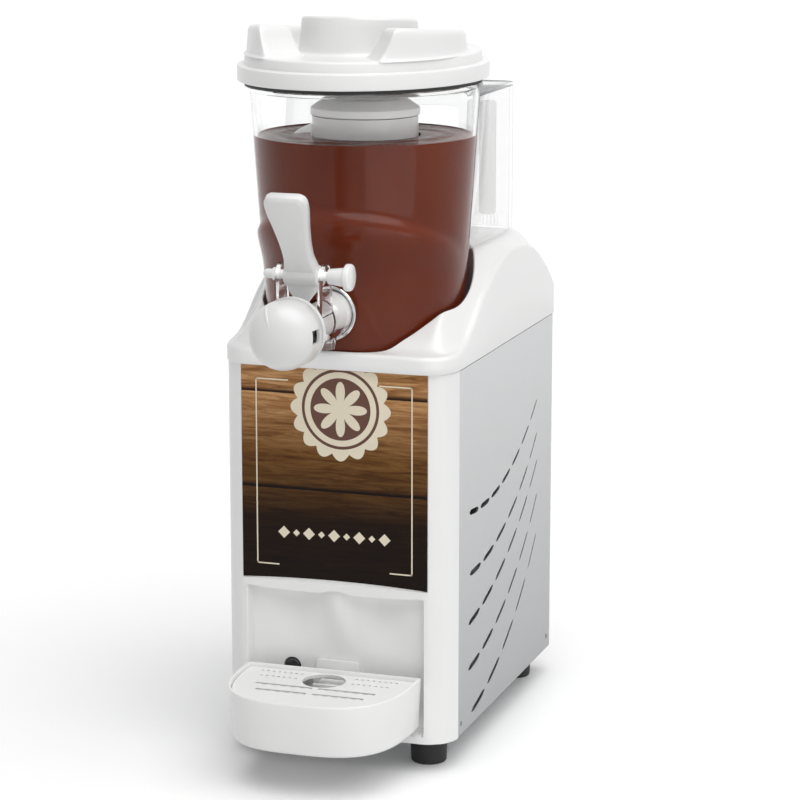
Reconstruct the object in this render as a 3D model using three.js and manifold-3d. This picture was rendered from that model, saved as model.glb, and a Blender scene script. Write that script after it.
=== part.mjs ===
// Hot chocolate dispenser: a counter-top machine with a clear bowl, a stirring
// auger over a heated column, a sprung tap and a drip tray.
//
// Units are millimetres. X points right, Y points back, Z points up.
// While the pieces are made, y = 0 is the plane of the front panel and z = 0 is
// the underside of the body. The last lines move the whole machine so that its
// origin lies on the floor, under the middle of its bounding box.

import * as THREE from 'three';
import { mergeVertices } from 'three/addons/utils/BufferGeometryUtils.js';
import Module from 'manifold-3d';

const wasm = await Module();
wasm.setup();

// Body
const HALF_WIDTH = 100;
const BODY_DEPTH = 320;
const PANEL_TOP = 312;
const WALL = 3;
const FRONT_CORNER = 25.5;
const REAR_CORNER = 14;
const FIT = 0.3;

// Cup niche in the front panel
const NICHE_HALF_WIDTH = 77;
const NICHE_BOTTOM = 9;
const NICHE_TOP = 121.5;
const NICHE_DEPTH = 10;
const LOBE_DEPTH = 6;
const RIDGE_RISE = 6;

// Printed panel above the niche
const DECAL_HALF_WIDTH = 80.6;
const DECAL_BOTTOM = 131.2;
const DECAL_ARCH = 2.6;

// Steel side panels
const STEEL_FRONT = 25.8;
const STEEL_REAR = 307;
const STEEL_THICKNESS = 1.5;
const SLOT_WIDTHS = [4.8, 2.4];

// Feet
const FOOT_HEIGHT = 25;
const FOOT_RADIUS = 16;
const FOOT_X = 71;
const FOOT_FRONT_Y = 36;
const FOOT_REAR_Y = 290;

// Top casing
const CASING_BOTTOM = PANEL_TOP + 0.4;
const CASING_PROUD = 4;
const POCKET_RADIUS = 92;
const POCKET_Y = 91;
const POCKET_FLOOR = 316;

// Bowl, round at its foot and seated on the heated plate
const BOWL_Y = 81;
const BOWL_BOTTOM = 320;
const BOWL_TOP = 536;
const BOWL_FOOT_RADIUS = 80;
const BOWL_FLARE = 15.3;
const BOWL_WALL = 3.2;
const BOWL_MOUTH_RADIUS = 67.5;
const NOSE_TOP = 446;
const NOSE_BOTTOM = 384;
const NOSE_RISE = 6;
const FLANGE = { halfWidth: 95.5, halfDepth: 119, y: 79 };
const GRIP = { halfWidth: 86, front: 78, rear: 233, bottom: 401, top: 528, corner: 13 };
const GRIP_WINDOW = { halfWidth: 42, bottom: 440, top: 505 };

// Lid
const LID = { halfWidth: 100.9, halfDepth: 126.6, y: 79, bottom: 543, rimTop: 556, stepTop: 565 };
const LID_STEP_INSET = 6;
const LID_BLOCK = { halfWidth: 89, halfDepth: 100, y: 62, top: 591 };
const LID_FALL = { slope: 0.083, y: -11, from: 566, to: 586 };
const LID_VALLEY = { y: 68, radius: 66, floor: 566 };
const LID_FUNNEL = { y: -23, halfWidth: 48.8, taper: 0.707, flare: 13.6, rise: 28 };
const LID_TOWER = { footRadius: 50.2, topRadius: 47.8, top: 599 };

// Heated column, stirrer and drive, all on the bowl's axis
const COLUMN_RADIUS = 40;
const COLUMN_TOP = 508;
const SLEEVE_OUTER = 44;
const SLEEVE_INNER = 41.5;
const SLEEVE_BOTTOM = 326;
const HAT = { shoulder: 519, top: 526.5, brim: 512, topRadius: 33, radius: 45.5 };
const BLADE = { inner: 45, outer: 62, top: 517, bottom: 336, pitch: 66, thickness: 3.2 };
const SHAFT_RADIUS = 5;

// Tap, on the bowl's front, with its barrel along Y
const TAP_Z = 360;
const BARREL_OUTER = 20;
const BARREL_INNER = 16.2;
const BARREL_FRONT = -90;
const BARREL_BACK = 2.2;
const CAP_RADIUS = 27.5;
const CAP_REAR = -92;
const CAP_STRAIGHT = 20;
const CAP_DOME = 23;
const PIVOT_Y = -69;
const PIVOT_Z = 400.6;
const PIN_RADIUS = 3.6;
const LEVER = { lean: 31, length: 81, topHalfWidth: 18.5, waistHalfWidth: 12.6, thickness: 10 };
const SPOUT_Y = -20;

// Drip tray
const TRAY = { halfWidth: 76, depth: 100, rear: -2, bottom: 13, top: 58, taper: 6, wall: 2.6 };
const TRAY_EXPONENT = 3.05;
const GRILLE = { top: 55, thickness: 2.4, inset: 3.4 };
const FINGER_HOLE = { radius: 18, y: -26 };

const white = new THREE.MeshStandardMaterial({ color: 0xf2f2f0, roughness: 0.3, metalness: 0 });
const clear = new THREE.MeshStandardMaterial({
  color: 0xe8f0f2, roughness: 0.05, metalness: 0, transparent: true, opacity: 0.35,
});
const steel = new THREE.MeshStandardMaterial({ color: 0xb9bcbd, roughness: 0.35, metalness: 1 });
const zinc = new THREE.MeshStandardMaterial({ color: 0x9ea2a4, roughness: 0.45, metalness: 1 });
const black = new THREE.MeshStandardMaterial({ color: 0x161616, roughness: 0.5, metalness: 0 });
const rubber = new THREE.MeshStandardMaterial({ color: 0x1c1c1c, roughness: 0.9, metalness: 0 });
const silicone = new THREE.MeshStandardMaterial({ color: 0x8f8f8a, roughness: 0.8, metalness: 0 });
const printed = new THREE.MeshStandardMaterial({ color: 0x4a2c18, roughness: 0.45, metalness: 0 });
const board = new THREE.MeshStandardMaterial({ color: 0x2f6b46, roughness: 0.6, metalness: 0 });

const machine = new THREE.Group();

// Helpers: closed geometries become solids, and solids become named meshes

function solid(geometry) {
  const g = geometry.clone();
  g.deleteAttribute('normal');
  g.deleteAttribute('uv');
  const merged = mergeVertices(g, 1e-4);
  const position = merged.attributes.position;
  const index = Array.from(merged.index.array);
  const triangles = [];
  for (let i = 0; i < index.length; i += 3) {
    const [a, b, c] = [index[i], index[i + 1], index[i + 2]];
    if (a !== b && b !== c && c !== a) triangles.push(a, b, c);
  }
  if (signedVolume(position.array, triangles) < 0) {
    for (let i = 0; i < triangles.length; i += 3) {
      [triangles[i], triangles[i + 1]] = [triangles[i + 1], triangles[i]];
    }
  }
  return new wasm.Manifold(new wasm.Mesh({
    numProp: 3,
    vertProperties: new Float32Array(position.array),
    triVerts: new Uint32Array(triangles),
  }));
}

function signedVolume(p, triangles) {
  let sum = 0;
  for (let i = 0; i < triangles.length; i += 3) {
    const [a, b, c] = [triangles[i] * 3, triangles[i + 1] * 3, triangles[i + 2] * 3];
    sum += p[a] * (p[b + 1] * p[c + 2] - p[b + 2] * p[c + 1]);
    sum -= p[a + 1] * (p[b] * p[c + 2] - p[b + 2] * p[c]);
    sum += p[a + 2] * (p[b] * p[c + 1] - p[b + 1] * p[c]);
  }
  return sum;
}

function piece(name, shape, material, parent = machine) {
  const mesh = shape.getMesh();
  const geometry = new THREE.BufferGeometry();
  geometry.setAttribute('position', new THREE.BufferAttribute(new Float32Array(mesh.vertProperties), 3));
  geometry.setIndex(new THREE.BufferAttribute(new Uint32Array(mesh.triVerts), 1));
  geometry.computeVertexNormals();
  const named = new THREE.Mesh(geometry, material);
  named.name = name;
  parent.add(named);
  return named;
}

function joined(solids) {
  return solids.reduce((sum, next) => sum.add(next));
}

function box(x0, x1, y0, y1, z0, z1) {
  const g = new THREE.BoxGeometry(x1 - x0, y1 - y0, z1 - z0);
  g.translate((x0 + x1) / 2, (y0 + y1) / 2, (z0 + z1) / 2);
  return solid(g);
}

// A flat outline in X and Y, raised from z0 to z1
function raised(shape, z0, z1, curveSegments = 10) {
  const g = new THREE.ExtrudeGeometry(shape, { depth: z1 - z0, bevelEnabled: false, curveSegments });
  g.translate(0, 0, z0);
  return solid(g);
}

// A flat outline in X and Z, run from y0 back to y1
function deep(shape, y0, y1, curveSegments = 10) {
  const g = new THREE.ExtrudeGeometry(shape, { depth: y1 - y0, bevelEnabled: false, curveSegments });
  g.rotateX(Math.PI / 2);
  g.translate(0, y1, 0);
  return solid(g);
}

// A profile of [radius, height] points turned about a vertical axis
function turned(profile, x, y, segments = 32) {
  const points = profile.map(([r, h]) => new THREE.Vector2(r, h));
  const g = new THREE.LatheGeometry(points, segments);
  g.rotateX(Math.PI / 2);
  g.translate(x, y, 0);
  return solid(g);
}

// The same about an axis along Y, with each height measured along Y
function turnedAlongY(profile, x, z, segments = 32) {
  const points = profile.map(([r, h]) => new THREE.Vector2(r, h));
  const g = new THREE.LatheGeometry(points, segments);
  g.translate(x, 0, z);
  return solid(g);
}

function turnedAlongX(profile, y, z, segments = 24) {
  const points = profile.map(([r, h]) => new THREE.Vector2(r, h));
  const g = new THREE.LatheGeometry(points, segments);
  g.rotateZ(-Math.PI / 2);
  g.translate(0, y, z);
  return solid(g);
}

function disc(radius, low, high) {
  return [[0, low], [radius, low], [radius, high], [0, high]];
}

function ring(inner, outer, low, high) {
  return [[inner, low], [outer, low], [outer, high], [inner, high], [inner, low]];
}

function rectangle(x0, x1, y0, y1, corner = 0) {
  const shape = new THREE.Shape();
  if (corner === 0) {
    shape.moveTo(x0, y0).lineTo(x1, y0).lineTo(x1, y1).lineTo(x0, y1).closePath();
    return shape;
  }
  shape.moveTo(x0 + corner, y0);
  shape.lineTo(x1 - corner, y0).absarc(x1 - corner, y0 + corner, corner, -Math.PI / 2, 0, false);
  shape.lineTo(x1, y1 - corner).absarc(x1 - corner, y1 - corner, corner, 0, Math.PI / 2, false);
  shape.lineTo(x0 + corner, y1).absarc(x0 + corner, y1 - corner, corner, Math.PI / 2, Math.PI, false);
  shape.lineTo(x0, y0 + corner).absarc(x0 + corner, y0 + corner, corner, Math.PI, 1.5 * Math.PI, false);
  return shape;
}

function oval(halfWidth, halfDepth, y, steps = 40) {
  const points = [];
  for (let i = 0; i < steps; i++) {
    const t = (i / steps) * 2 * Math.PI;
    points.push(new THREE.Vector2(halfWidth * Math.cos(t), y + halfDepth * Math.sin(t)));
  }
  return new THREE.Shape(points);
}

function polygon(points) {
  return new THREE.Shape(points.map(([x, y]) => new THREE.Vector2(x, y)));
}

// The body's outline in plan: small corners at the back, large ones in front
function bodyOutline(inset, front, rear, frontCorner = FRONT_CORNER, rearCorner = REAR_CORNER) {
  const x = HALF_WIDTH - inset;
  const shape = new THREE.Shape();
  shape.moveTo(-x + frontCorner, front);
  shape.lineTo(x - frontCorner, front);
  shape.absarc(x - frontCorner, front + frontCorner, frontCorner, -Math.PI / 2, 0, false);
  shape.lineTo(x, rear - rearCorner);
  shape.absarc(x - rearCorner, rear - rearCorner, rearCorner, 0, Math.PI / 2, false);
  shape.lineTo(-x + rearCorner, rear);
  shape.absarc(-x + rearCorner, rear - rearCorner, rearCorner, Math.PI / 2, Math.PI, false);
  shape.lineTo(-x, front + frontCorner);
  shape.absarc(-x + frontCorner, front + frontCorner, frontCorner, Math.PI, 1.5 * Math.PI, false);
  return shape;
}

// A closed solid between two sheets of points with the same rows and columns
function between(rows, columns, upper, lower) {
  const vertices = [];
  const faces = [];
  const id = (side, i, j) => side * rows * columns + i * columns + j;
  for (const sheet of [upper, lower]) {
    for (let i = 0; i < rows; i++) {
      for (let j = 0; j < columns; j++) vertices.push(...sheet(i, j));
    }
  }
  for (let i = 0; i < rows - 1; i++) {
    for (let j = 0; j < columns - 1; j++) {
      faces.push(id(0, i, j), id(0, i + 1, j), id(0, i + 1, j + 1));
      faces.push(id(0, i, j), id(0, i + 1, j + 1), id(0, i, j + 1));
      faces.push(id(1, i, j), id(1, i + 1, j + 1), id(1, i + 1, j));
      faces.push(id(1, i, j), id(1, i, j + 1), id(1, i + 1, j + 1));
    }
  }
  const rim = [];
  for (let j = 0; j < columns; j++) rim.push([0, j]);
  for (let i = 1; i < rows; i++) rim.push([i, columns - 1]);
  for (let j = columns - 2; j >= 0; j--) rim.push([rows - 1, j]);
  for (let i = rows - 2; i > 0; i--) rim.push([i, 0]);
  for (let k = 0; k < rim.length; k++) {
    const [i, j] = rim[k];
    const [m, n] = rim[(k + 1) % rim.length];
    faces.push(id(0, i, j), id(0, m, n), id(1, m, n));
    faces.push(id(0, i, j), id(1, m, n), id(1, i, j));
  }
  return indexed(vertices, faces);
}

// A closed solid through a stack of rings with the same number of points
function stacked(rings) {
  const count = rings[0].length;
  const vertices = rings.flat(2);
  const faces = [];
  for (let i = 0; i < rings.length - 1; i++) {
    for (let j = 0; j < count; j++) {
      const k = (j + 1) % count;
      faces.push(i * count + j, i * count + k, (i + 1) * count + k);
      faces.push(i * count + j, (i + 1) * count + k, (i + 1) * count + j);
    }
  }
  for (const end of [0, rings.length - 1]) {
    const centre = vertices.length / 3;
    const sum = rings[end].reduce((s, p) => [s[0] + p[0], s[1] + p[1], s[2] + p[2]], [0, 0, 0]);
    vertices.push(...sum.map((v) => v / count));
    for (let j = 0; j < count; j++) {
      const k = (j + 1) % count;
      if (end === 0) faces.push(centre, end * count + k, end * count + j);
      else faces.push(centre, end * count + j, end * count + k);
    }
  }
  return indexed(vertices, faces);
}

function indexed(vertices, faces) {
  const g = new THREE.BufferGeometry();
  g.setAttribute('position', new THREE.BufferAttribute(new Float32Array(vertices), 3));
  g.setIndex(faces);
  return solid(g);
}

function smoothstep(t) {
  const u = Math.min(Math.max(t, 0), 1);
  return u * u * (3 - 2 * u);
}

function bump(t) {
  return Math.abs(t) < 1 ? Math.cos((t * Math.PI) / 2) ** 2 : 0;
}

// A smooth curve through [position, value] stations
function along(stations, at) {
  const last = stations.length - 1;
  if (at <= stations[0][0]) return stations[0][1];
  if (at >= stations[last][0]) return stations[last][1];
  let i = 0;
  while (stations[i + 1][0] < at) i += 1;
  const slope = (k) => {
    const a = stations[Math.max(k - 1, 0)];
    const b = stations[Math.min(k + 1, last)];
    return (b[1] - a[1]) / (b[0] - a[0]);
  };
  const [x0, y0] = stations[i];
  const [x1, y1] = stations[i + 1];
  const h = x1 - x0;
  const t = (at - x0) / h;
  const rise = (2 * t ** 3 - 3 * t ** 2 + 1) * y0 + (3 * t ** 2 - 2 * t ** 3) * y1;
  return rise + (t ** 3 - 2 * t ** 2 + t) * h * slope(i) + (t ** 3 - t ** 2) * h * slope(i + 1);
}

// Base plate, feet and the frame that carries the drive and the heated plate

function makeBase() {
  const outer = box(-96, 96, 20, 304, 0, 18);
  const inner = box(-94, 94, 22, 302, 2, 19);
  let plate = outer.subtract(inner);
  for (const [, y, z] of PANEL_SCREWS) {
    plate = plate.subtract(turnedAlongX(disc(2, -HALF_WIDTH, HALF_WIDTH), y, z, 8));
  }
  piece('base_plate', plate, zinc);
  const places = [
    ['foot_front_left', -FOOT_X, FOOT_FRONT_Y],
    ['foot_front_right', FOOT_X, FOOT_FRONT_Y],
    ['foot_rear_left', -FOOT_X, FOOT_REAR_Y],
    ['foot_rear_right', FOOT_X, FOOT_REAR_Y],
  ];
  const profile = [
    [0, -FOOT_HEIGHT], [FOOT_RADIUS - 2.5, -FOOT_HEIGHT], [FOOT_RADIUS - 1.2, -FOOT_HEIGHT + 1.5],
    [FOOT_RADIUS, -FIT], [0, -FIT],
  ];
  for (const [name, x, y] of places) piece(name, turned(profile, x, y, 28), rubber);
}

const FRAME = { halfWidth: 84, front: 24, rear: 160, top: 303, sheet: 2 };

function makeFrame() {
  const { halfWidth, front, rear, top, sheet } = FRAME;
  const bridge = box(-halfWidth, halfWidth, front, rear, 2 + FIT, top);
  const under = box(-halfWidth + sheet, halfWidth - sheet, front - 1, rear + 1, 2 + FIT + sheet, top - sheet);
  const floorGap = box(-halfWidth + 20, halfWidth - 20, front - 1, rear + 1, 0, 3 + sheet);
  const shaftHole = turned(disc(14, top - 5, top + 5), 0, BOWL_Y, 24);
  piece('support_frame', bridge.subtract(under).subtract(floorGap).subtract(shaftHole), zinc);
}

// Motor, gearbox and shaft hang under the frame's top plate

const GEARBOX = { bottom: 252, top: FRAME.top - FRAME.sheet - FIT };
const MOTOR = { radius: 31, bottom: 168 };

function makeDrive() {
  const gearbox = raised(rectangle(-38, 38, BOWL_Y - 34, BOWL_Y + 42, 8), GEARBOX.bottom, GEARBOX.top, 3);
  const bore = turned(disc(SHAFT_RADIUS + FIT, 268, GEARBOX.top + 1), 0, BOWL_Y, 20);
  piece('gearbox', gearbox.subtract(bore), zinc);
  const can = turned([
    [0, MOTOR.bottom], [10, MOTOR.bottom], [10, MOTOR.bottom + 4], [MOTOR.radius, MOTOR.bottom + 4],
    [MOTOR.radius, GEARBOX.bottom - FIT], [0, GEARBOX.bottom - FIT],
  ], 0, BOWL_Y, 28);
  piece('gear_motor', can, black);
  const shaft = turned([
    [0, 269], [SHAFT_RADIUS, 269], [SHAFT_RADIUS, 520], [SHAFT_RADIUS - 1, 521], [0, 521],
  ], 0, BOWL_Y, 20);
  const flat = box(SHAFT_RADIUS - 1.2, SHAFT_RADIUS + 2, BOWL_Y - 6, BOWL_Y + 6, 512, 522);
  piece('drive_shaft', shaft.subtract(flat), steel);
}

// Heated plate with the dry column that the stirrer turns on

function makeHeater() {
  const plate = turned([
    [COLUMN_RADIUS - 2, 314], [70, 314], [70, FRAME.top + FIT], [75, FRAME.top + FIT], [78.5, 314],
    [78.5, 316.7], [COLUMN_RADIUS, 316.7], [COLUMN_RADIUS, COLUMN_TOP],
    [SHAFT_RADIUS + 4.4, COLUMN_TOP], [SHAFT_RADIUS + 4.4, COLUMN_TOP - 2],
    [COLUMN_RADIUS - 2, COLUMN_TOP - 2], [COLUMN_RADIUS - 2, 314],
  ], 0, BOWL_Y, 36);
  piece('heated_plate', plate, steel);
  const element = turned([
    [50, 305], [58, 305], [58, 313.4], [50, 313.4], [50, 305],
  ], 0, BOWL_Y, 32);
  piece('heating_element', element, zinc);
  const lip = ring(SHAFT_RADIUS + 0.1, SHAFT_RADIUS + 4.1, COLUMN_TOP - 4, COLUMN_TOP + 2);
  piece('shaft_seal', turned(lip, 0, BOWL_Y, 20), silicone);
  piece('bowl_seal', turned(ring(69, 78, 317, 319.7), 0, BOWL_Y, 36), silicone);
  const cutout = turned(disc(6, 304, 313.4), 43, BOWL_Y, 16);
  piece('overheat_cutout', cutout.add(box(40, 46, 78, 84, FRAME.top + FIT, 305)), black);
}

// Front panel with the niche that a cup stands in

function nicheWall(x, z) {
  const fade = smoothstep((z - 66) / 48);
  const lobes = LOBE_DEPTH * (bump((x - 38) / 30) + bump((x + 38) / 30));
  const ridge = RIDGE_RISE * bump(x / 17);
  return NICHE_DEPTH + fade * (lobes - ridge);
}

function nicheTop(x) {
  return NICHE_TOP + 3 * bump(x / 16) + 2.4 * (Math.abs(x) / NICHE_HALF_WIDTH) ** 4;
}

function nicheCutter() {
  const columns = 23;
  const rows = 9;
  const at = (i, j) => {
    const x = NICHE_HALF_WIDTH * ((2 * j) / (columns - 1) - 1);
    const t = i / (rows - 1);
    return [x, NICHE_BOTTOM + (nicheTop(x) - NICHE_BOTTOM) * t];
  };
  const back = (i, j) => {
    const [x, z] = at(i, j);
    return [x * 0.985, nicheWall(x, z), z];
  };
  const front = (i, j) => {
    const [x, z] = at(i, j);
    return [x, -2, z];
  };
  return between(rows, columns, back, front);
}

function makeFrontPanel() {
  const outer = raised(bodyOutline(0, 0, BODY_DEPTH), 0, PANEL_TOP);
  const innerPlan = bodyOutline(WALL, WALL, BODY_DEPTH - WALL, FRONT_CORNER - WALL, 8);
  const inner = raised(innerPlan, -1, PANEL_TOP + 1);
  const front = box(-HALF_WIDTH - 1, HALF_WIDTH + 1, -1, STEEL_FRONT - FIT, -1, PANEL_TOP + 1);
  const nicheBox = box(-NICHE_HALF_WIDTH - 3, NICHE_HALF_WIDTH + 3, 1, 19, 3, NICHE_TOP + 7);
  const knobHole = turnedAlongY(disc(7.6, 5, 30), KNOB.x, KNOB.z, 24);
  const seatHalfWidth = DECAL_HALF_WIDTH + 0.4;
  const seat = deep(rectangle(-seatHalfWidth, seatHalfWidth, DECAL_BOTTOM - 0.4, PANEL_TOP + 2), -1, 1.2);
  const shell = outer.subtract(inner).intersect(front).add(nicheBox);
  piece('front_panel', shell.subtract(nicheCutter()).subtract(knobHole).subtract(seat), white);
}

const KNOB = { x: -41, z: 54, radius: 6.8 };

function makeDecal() {
  const arch = new THREE.Shape();
  arch.moveTo(-DECAL_HALF_WIDTH, PANEL_TOP - FIT);
  arch.lineTo(-DECAL_HALF_WIDTH, DECAL_BOTTOM);
  arch.quadraticCurveTo(0, DECAL_BOTTOM + 2 * DECAL_ARCH, DECAL_HALF_WIDTH, DECAL_BOTTOM);
  arch.lineTo(DECAL_HALF_WIDTH, PANEL_TOP - FIT);
  arch.closePath();
  piece('decal_panel', deep(arch, 0.1, 0.9, 10), printed);
}

// Thermostat behind the niche wall, turned by the small knob in its hole

function makeThermostat() {
  const knob = turnedAlongY([
    [0, 8.6], [KNOB.radius - 0.8, 8.6], [KNOB.radius, 9.4], [KNOB.radius, 18], [0, 18],
  ], KNOB.x, KNOB.z, 24);
  const grip = box(KNOB.x - 1.1, KNOB.x + 1.1, 6.6, 9, KNOB.z - KNOB.radius + 1, KNOB.z + KNOB.radius - 1);
  const bore = turnedAlongY(disc(3.3, 13, 19), KNOB.x, KNOB.z, 16);
  piece('thermostat_knob', knob.add(grip).subtract(bore), black);
  const bodyShape = deep(rectangle(KNOB.x - 17, KNOB.x + 17, KNOB.z - 17, KNOB.z + 17, 4), 19.4, 40, 3);
  piece('thermostat', bodyShape.add(turnedAlongY(disc(3, 13.4, 20), KNOB.x, KNOB.z, 16)), zinc);
}

// Side panels of brushed steel with five dashed arcs of cooling slots

const SLOT_ARCS = [
  { y: 92, z: 450, radius: 266, from: -97.9, to: -50.0, dashes: 7 },
  { y: 59, z: 427, radius: 294, from: -90.3, to: -45.5, dashes: 6 },
  { y: 12, z: 451, radius: 363, from: -83.3, to: -45.5, dashes: 6 },
  { y: 19, z: 378, radius: 329, from: -83.9, to: -41.2, dashes: 6 },
  { y: 11, z: 338, radius: 331, from: -80.8, to: -39.8, dashes: 5 },
];
const DASH_SHARE = 0.82;
const PANEL_SCREWS = [['front', 34, 10], ['rear', 297, 12]];
const SCREW_HOLE = 2.6;

function slotCutter(arc, dash, x0, x1) {
  const step = (arc.to - arc.from) / arc.dashes;
  const start = arc.from + dash * step;
  const end = start + step * DASH_SHARE;
  const width = SLOT_WIDTHS[0] + (SLOT_WIDTHS[1] - SLOT_WIDTHS[0]) * (dash / (arc.dashes - 1));
  const points = [];
  const steps = 2;
  for (const side of [1, -1]) {
    for (let i = 0; i <= steps; i++) {
      const share = side > 0 ? i / steps : 1 - i / steps;
      const angle = THREE.MathUtils.degToRad(start + (end - start) * share);
      const r = arc.radius + (side * width) / 2;
      points.push([arc.y + r * Math.cos(angle), arc.z + r * Math.sin(angle)]);
    }
  }
  return inSidePlane(polygon(points), x0, x1);
}

// An outline in Y and Z, run from x0 to x1
function inSidePlane(shape, x0, x1, curveSegments = 8) {
  const g = new THREE.ExtrudeGeometry(shape, { depth: x1 - x0, bevelEnabled: false, curveSegments });
  g.applyMatrix4(new THREE.Matrix4().set(0, 0, 1, x0, 1, 0, 0, 0, 0, 1, 0, 0, 0, 0, 0, 1));
  return solid(g);
}

function makeSidePanels() {
  for (const [name, side] of [['left', -1], ['right', 1]]) {
    const outside = side * (HALF_WIDTH - 0.2);
    const inside = side * (HALF_WIDTH - 0.2 - STEEL_THICKNESS);
    const [x0, x1] = [Math.min(outside, inside), Math.max(outside, inside)];
    let sheet = box(x0, x1, STEEL_FRONT, STEEL_REAR, 0.4, PANEL_TOP - 0.4);
    for (const arc of SLOT_ARCS) {
      for (let i = 0; i < arc.dashes; i++) sheet = sheet.subtract(slotCutter(arc, i, x0 - 1, x1 + 1));
    }
    for (const [end, y, z] of PANEL_SCREWS) {
      sheet = sheet.subtract(turnedAlongX(disc(SCREW_HOLE, x0 - 1, x1 + 1), y, z, 12));
      const head = turnedAlongX(disc(SCREW_HOLE - 0.4, 0, 1.2), y, z, 12);
      const thread = turnedAlongX(disc(1.5, -6, 0.2), y, z, 8);
      const screw = head.add(thread).translate(HALF_WIDTH - 1.5, 0, 0);
      piece(`panel_screw_${name}_${end}`, side > 0 ? screw : screw.mirror([1, 0, 0]), black);
    }
    piece(`side_panel_${name}`, sheet, steel);
  }
}

// Rear cover with the mains inlet, the power switch and its cooling slots

const SWITCH = { x: 52, z: 62, halfWidth: 10.5, halfHeight: 15 };
const INLET = { x: -52, z: 50 };

function makeRearCover() {
  const outer = raised(bodyOutline(0, 0, BODY_DEPTH), 0.4, PANEL_TOP);
  const innerPlan = bodyOutline(WALL, 0, BODY_DEPTH - WALL, FRONT_CORNER, REAR_CORNER - WALL);
  const inner = raised(innerPlan, 0, PANEL_TOP + 1);
  const rear = box(-HALF_WIDTH - 1, HALF_WIDTH + 1, STEEL_REAR + FIT, BODY_DEPTH + 1, -1, PANEL_TOP + 1);
  let cover = outer.subtract(inner).intersect(rear);
  for (let row = 0; row < 6; row++) {
    const z = 214 + row * 14;
    cover = cover.subtract(deep(rectangle(-55, 55, z - 1.9, z + 1.9, 1.8), 310, 325, 2));
  }
  const { x, z, halfWidth, halfHeight } = SWITCH;
  cover = cover.subtract(box(x - halfWidth, x + halfWidth, 310, 325, z - halfHeight, z + halfHeight));
  cover = cover.subtract(turnedAlongY(disc(9.3, 310, 325), INLET.x, INLET.z, 24));
  piece('rear_cover', cover, white);

  const gland = turnedAlongY([
    [5, 309], [9, 309], [9, 320.3], [14, 320.3], [14, 326], [11, 331], [8.5, 331], [5, 331], [5, 309],
  ], INLET.x, INLET.z, 24);
  piece('cable_gland', gland, black);

  const around = (grow, y0, y1) => box(
    x - halfWidth - grow, x + halfWidth + grow, y0, y1, z - halfHeight - grow, z + halfHeight + grow,
  );
  const well = box(x - 7.5, x + 7.5, 308, 325, z - 11.5, z + 11.5);
  piece('switch_housing', around(-FIT, 300, 321).add(around(2, 320.3, 322)).subtract(well), black);
  const rocker = new THREE.Shape();
  rocker.moveTo(312, z - 10);
  rocker.lineTo(321.6, z - 10.4);
  rocker.lineTo(320, z);
  rocker.lineTo(323.4, z + 9.6);
  rocker.lineTo(314, z + 10);
  rocker.lineTo(312, z);
  rocker.closePath();
  piece('power_switch', inSidePlane(rocker, x - 7, x + 7), black);
}

// Electrics on the base plate

function makeElectrics() {
  piece('control_box', box(-70, 40, 190, 262, 2 + FIT, 62), white);
  const card = box(-64, 34, 196, 256, 64, 66);
  const parts = [
    box(-56, -38, 206, 230, 65.5, 82), box(-30, -12, 206, 230, 65.5, 82), box(4, 26, 210, 244, 65.5, 78),
    box(-62, -56, 198, 204, 62 + FIT, 65), box(26, 32, 198, 204, 62 + FIT, 65),
  ];
  piece('control_board', joined([card, ...parts]), board);
  const strip = box(-80, -24, 272, 290, 2 + FIT, 20);
  let blocks = strip;
  for (let i = 0; i < 5; i++) blocks = blocks.subtract(turned(disc(2.6, 10, 22), -74 + i * 11, 281, 8));
  piece('terminal_block', blocks, black);
  piece('motor_capacitor', turned(disc(15, 2 + FIT, 72), -44, 140, 16), zinc);
}

// Top casing: a low deck in front that sweeps up into a hump behind the bowl

const SIDE_EDGE = [
  [-4, 325.5], [20, 326.5], [43, 330], [60, 339], [84, 356], [115, 373], [146, 386], [181, 391],
  [223, 387], [250, 379], [272, 367], [293, 353], [311, 337], [321, 322],
];
const MIDDLE = [
  [-4, 327], [9, 328.5], [18, 337], [34, 349], [57, 362.5], [81, 377], [106, 389.5], [126, 397],
  [150, 400], [215, 400], [246, 397], [276, 388], [298, 373], [311, 357], [321, 336],
];
const SHOULDER_WIDTH = 24;
const EDGE_RADIUS = 5;

function casingTop(x, y) {
  const inward = HALF_WIDTH + 0.6 - Math.abs(x);
  const side = along(SIDE_EDGE, y);
  const z = side + (along(MIDDLE, y) - side) * smoothstep(inward / SHOULDER_WIDTH);
  const fromEdge = Math.min(inward, y + CASING_PROUD);
  if (fromEdge >= EDGE_RADIUS) return z;
  const u = 1 - Math.max(fromEdge, 0) / EDGE_RADIUS;
  return z - EDGE_RADIUS * 0.8 * (1 - Math.sqrt(1 - u * u));
}

const CASING_X = [0, 40, 72, 82, 91, 96.5, 99.4, 100.6];
const CASING_Y = [
  -4, -2.8, 0.5, 9, 18, 34, 50, 70, 90, 115, 146, 181, 215, 246, 272, 292, 308, 320.6,
];

function casingSolid(xs, ys, drop, bottom) {
  const columns = [...xs.slice(1).reverse().map((x) => -x), ...xs];
  const upper = (i, j) => [columns[j], ys[i], casingTop(columns[j], ys[i]) - drop];
  const lower = (i, j) => [columns[j], ys[i], bottom];
  return between(ys.length, columns.length, upper, lower);
}

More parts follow.
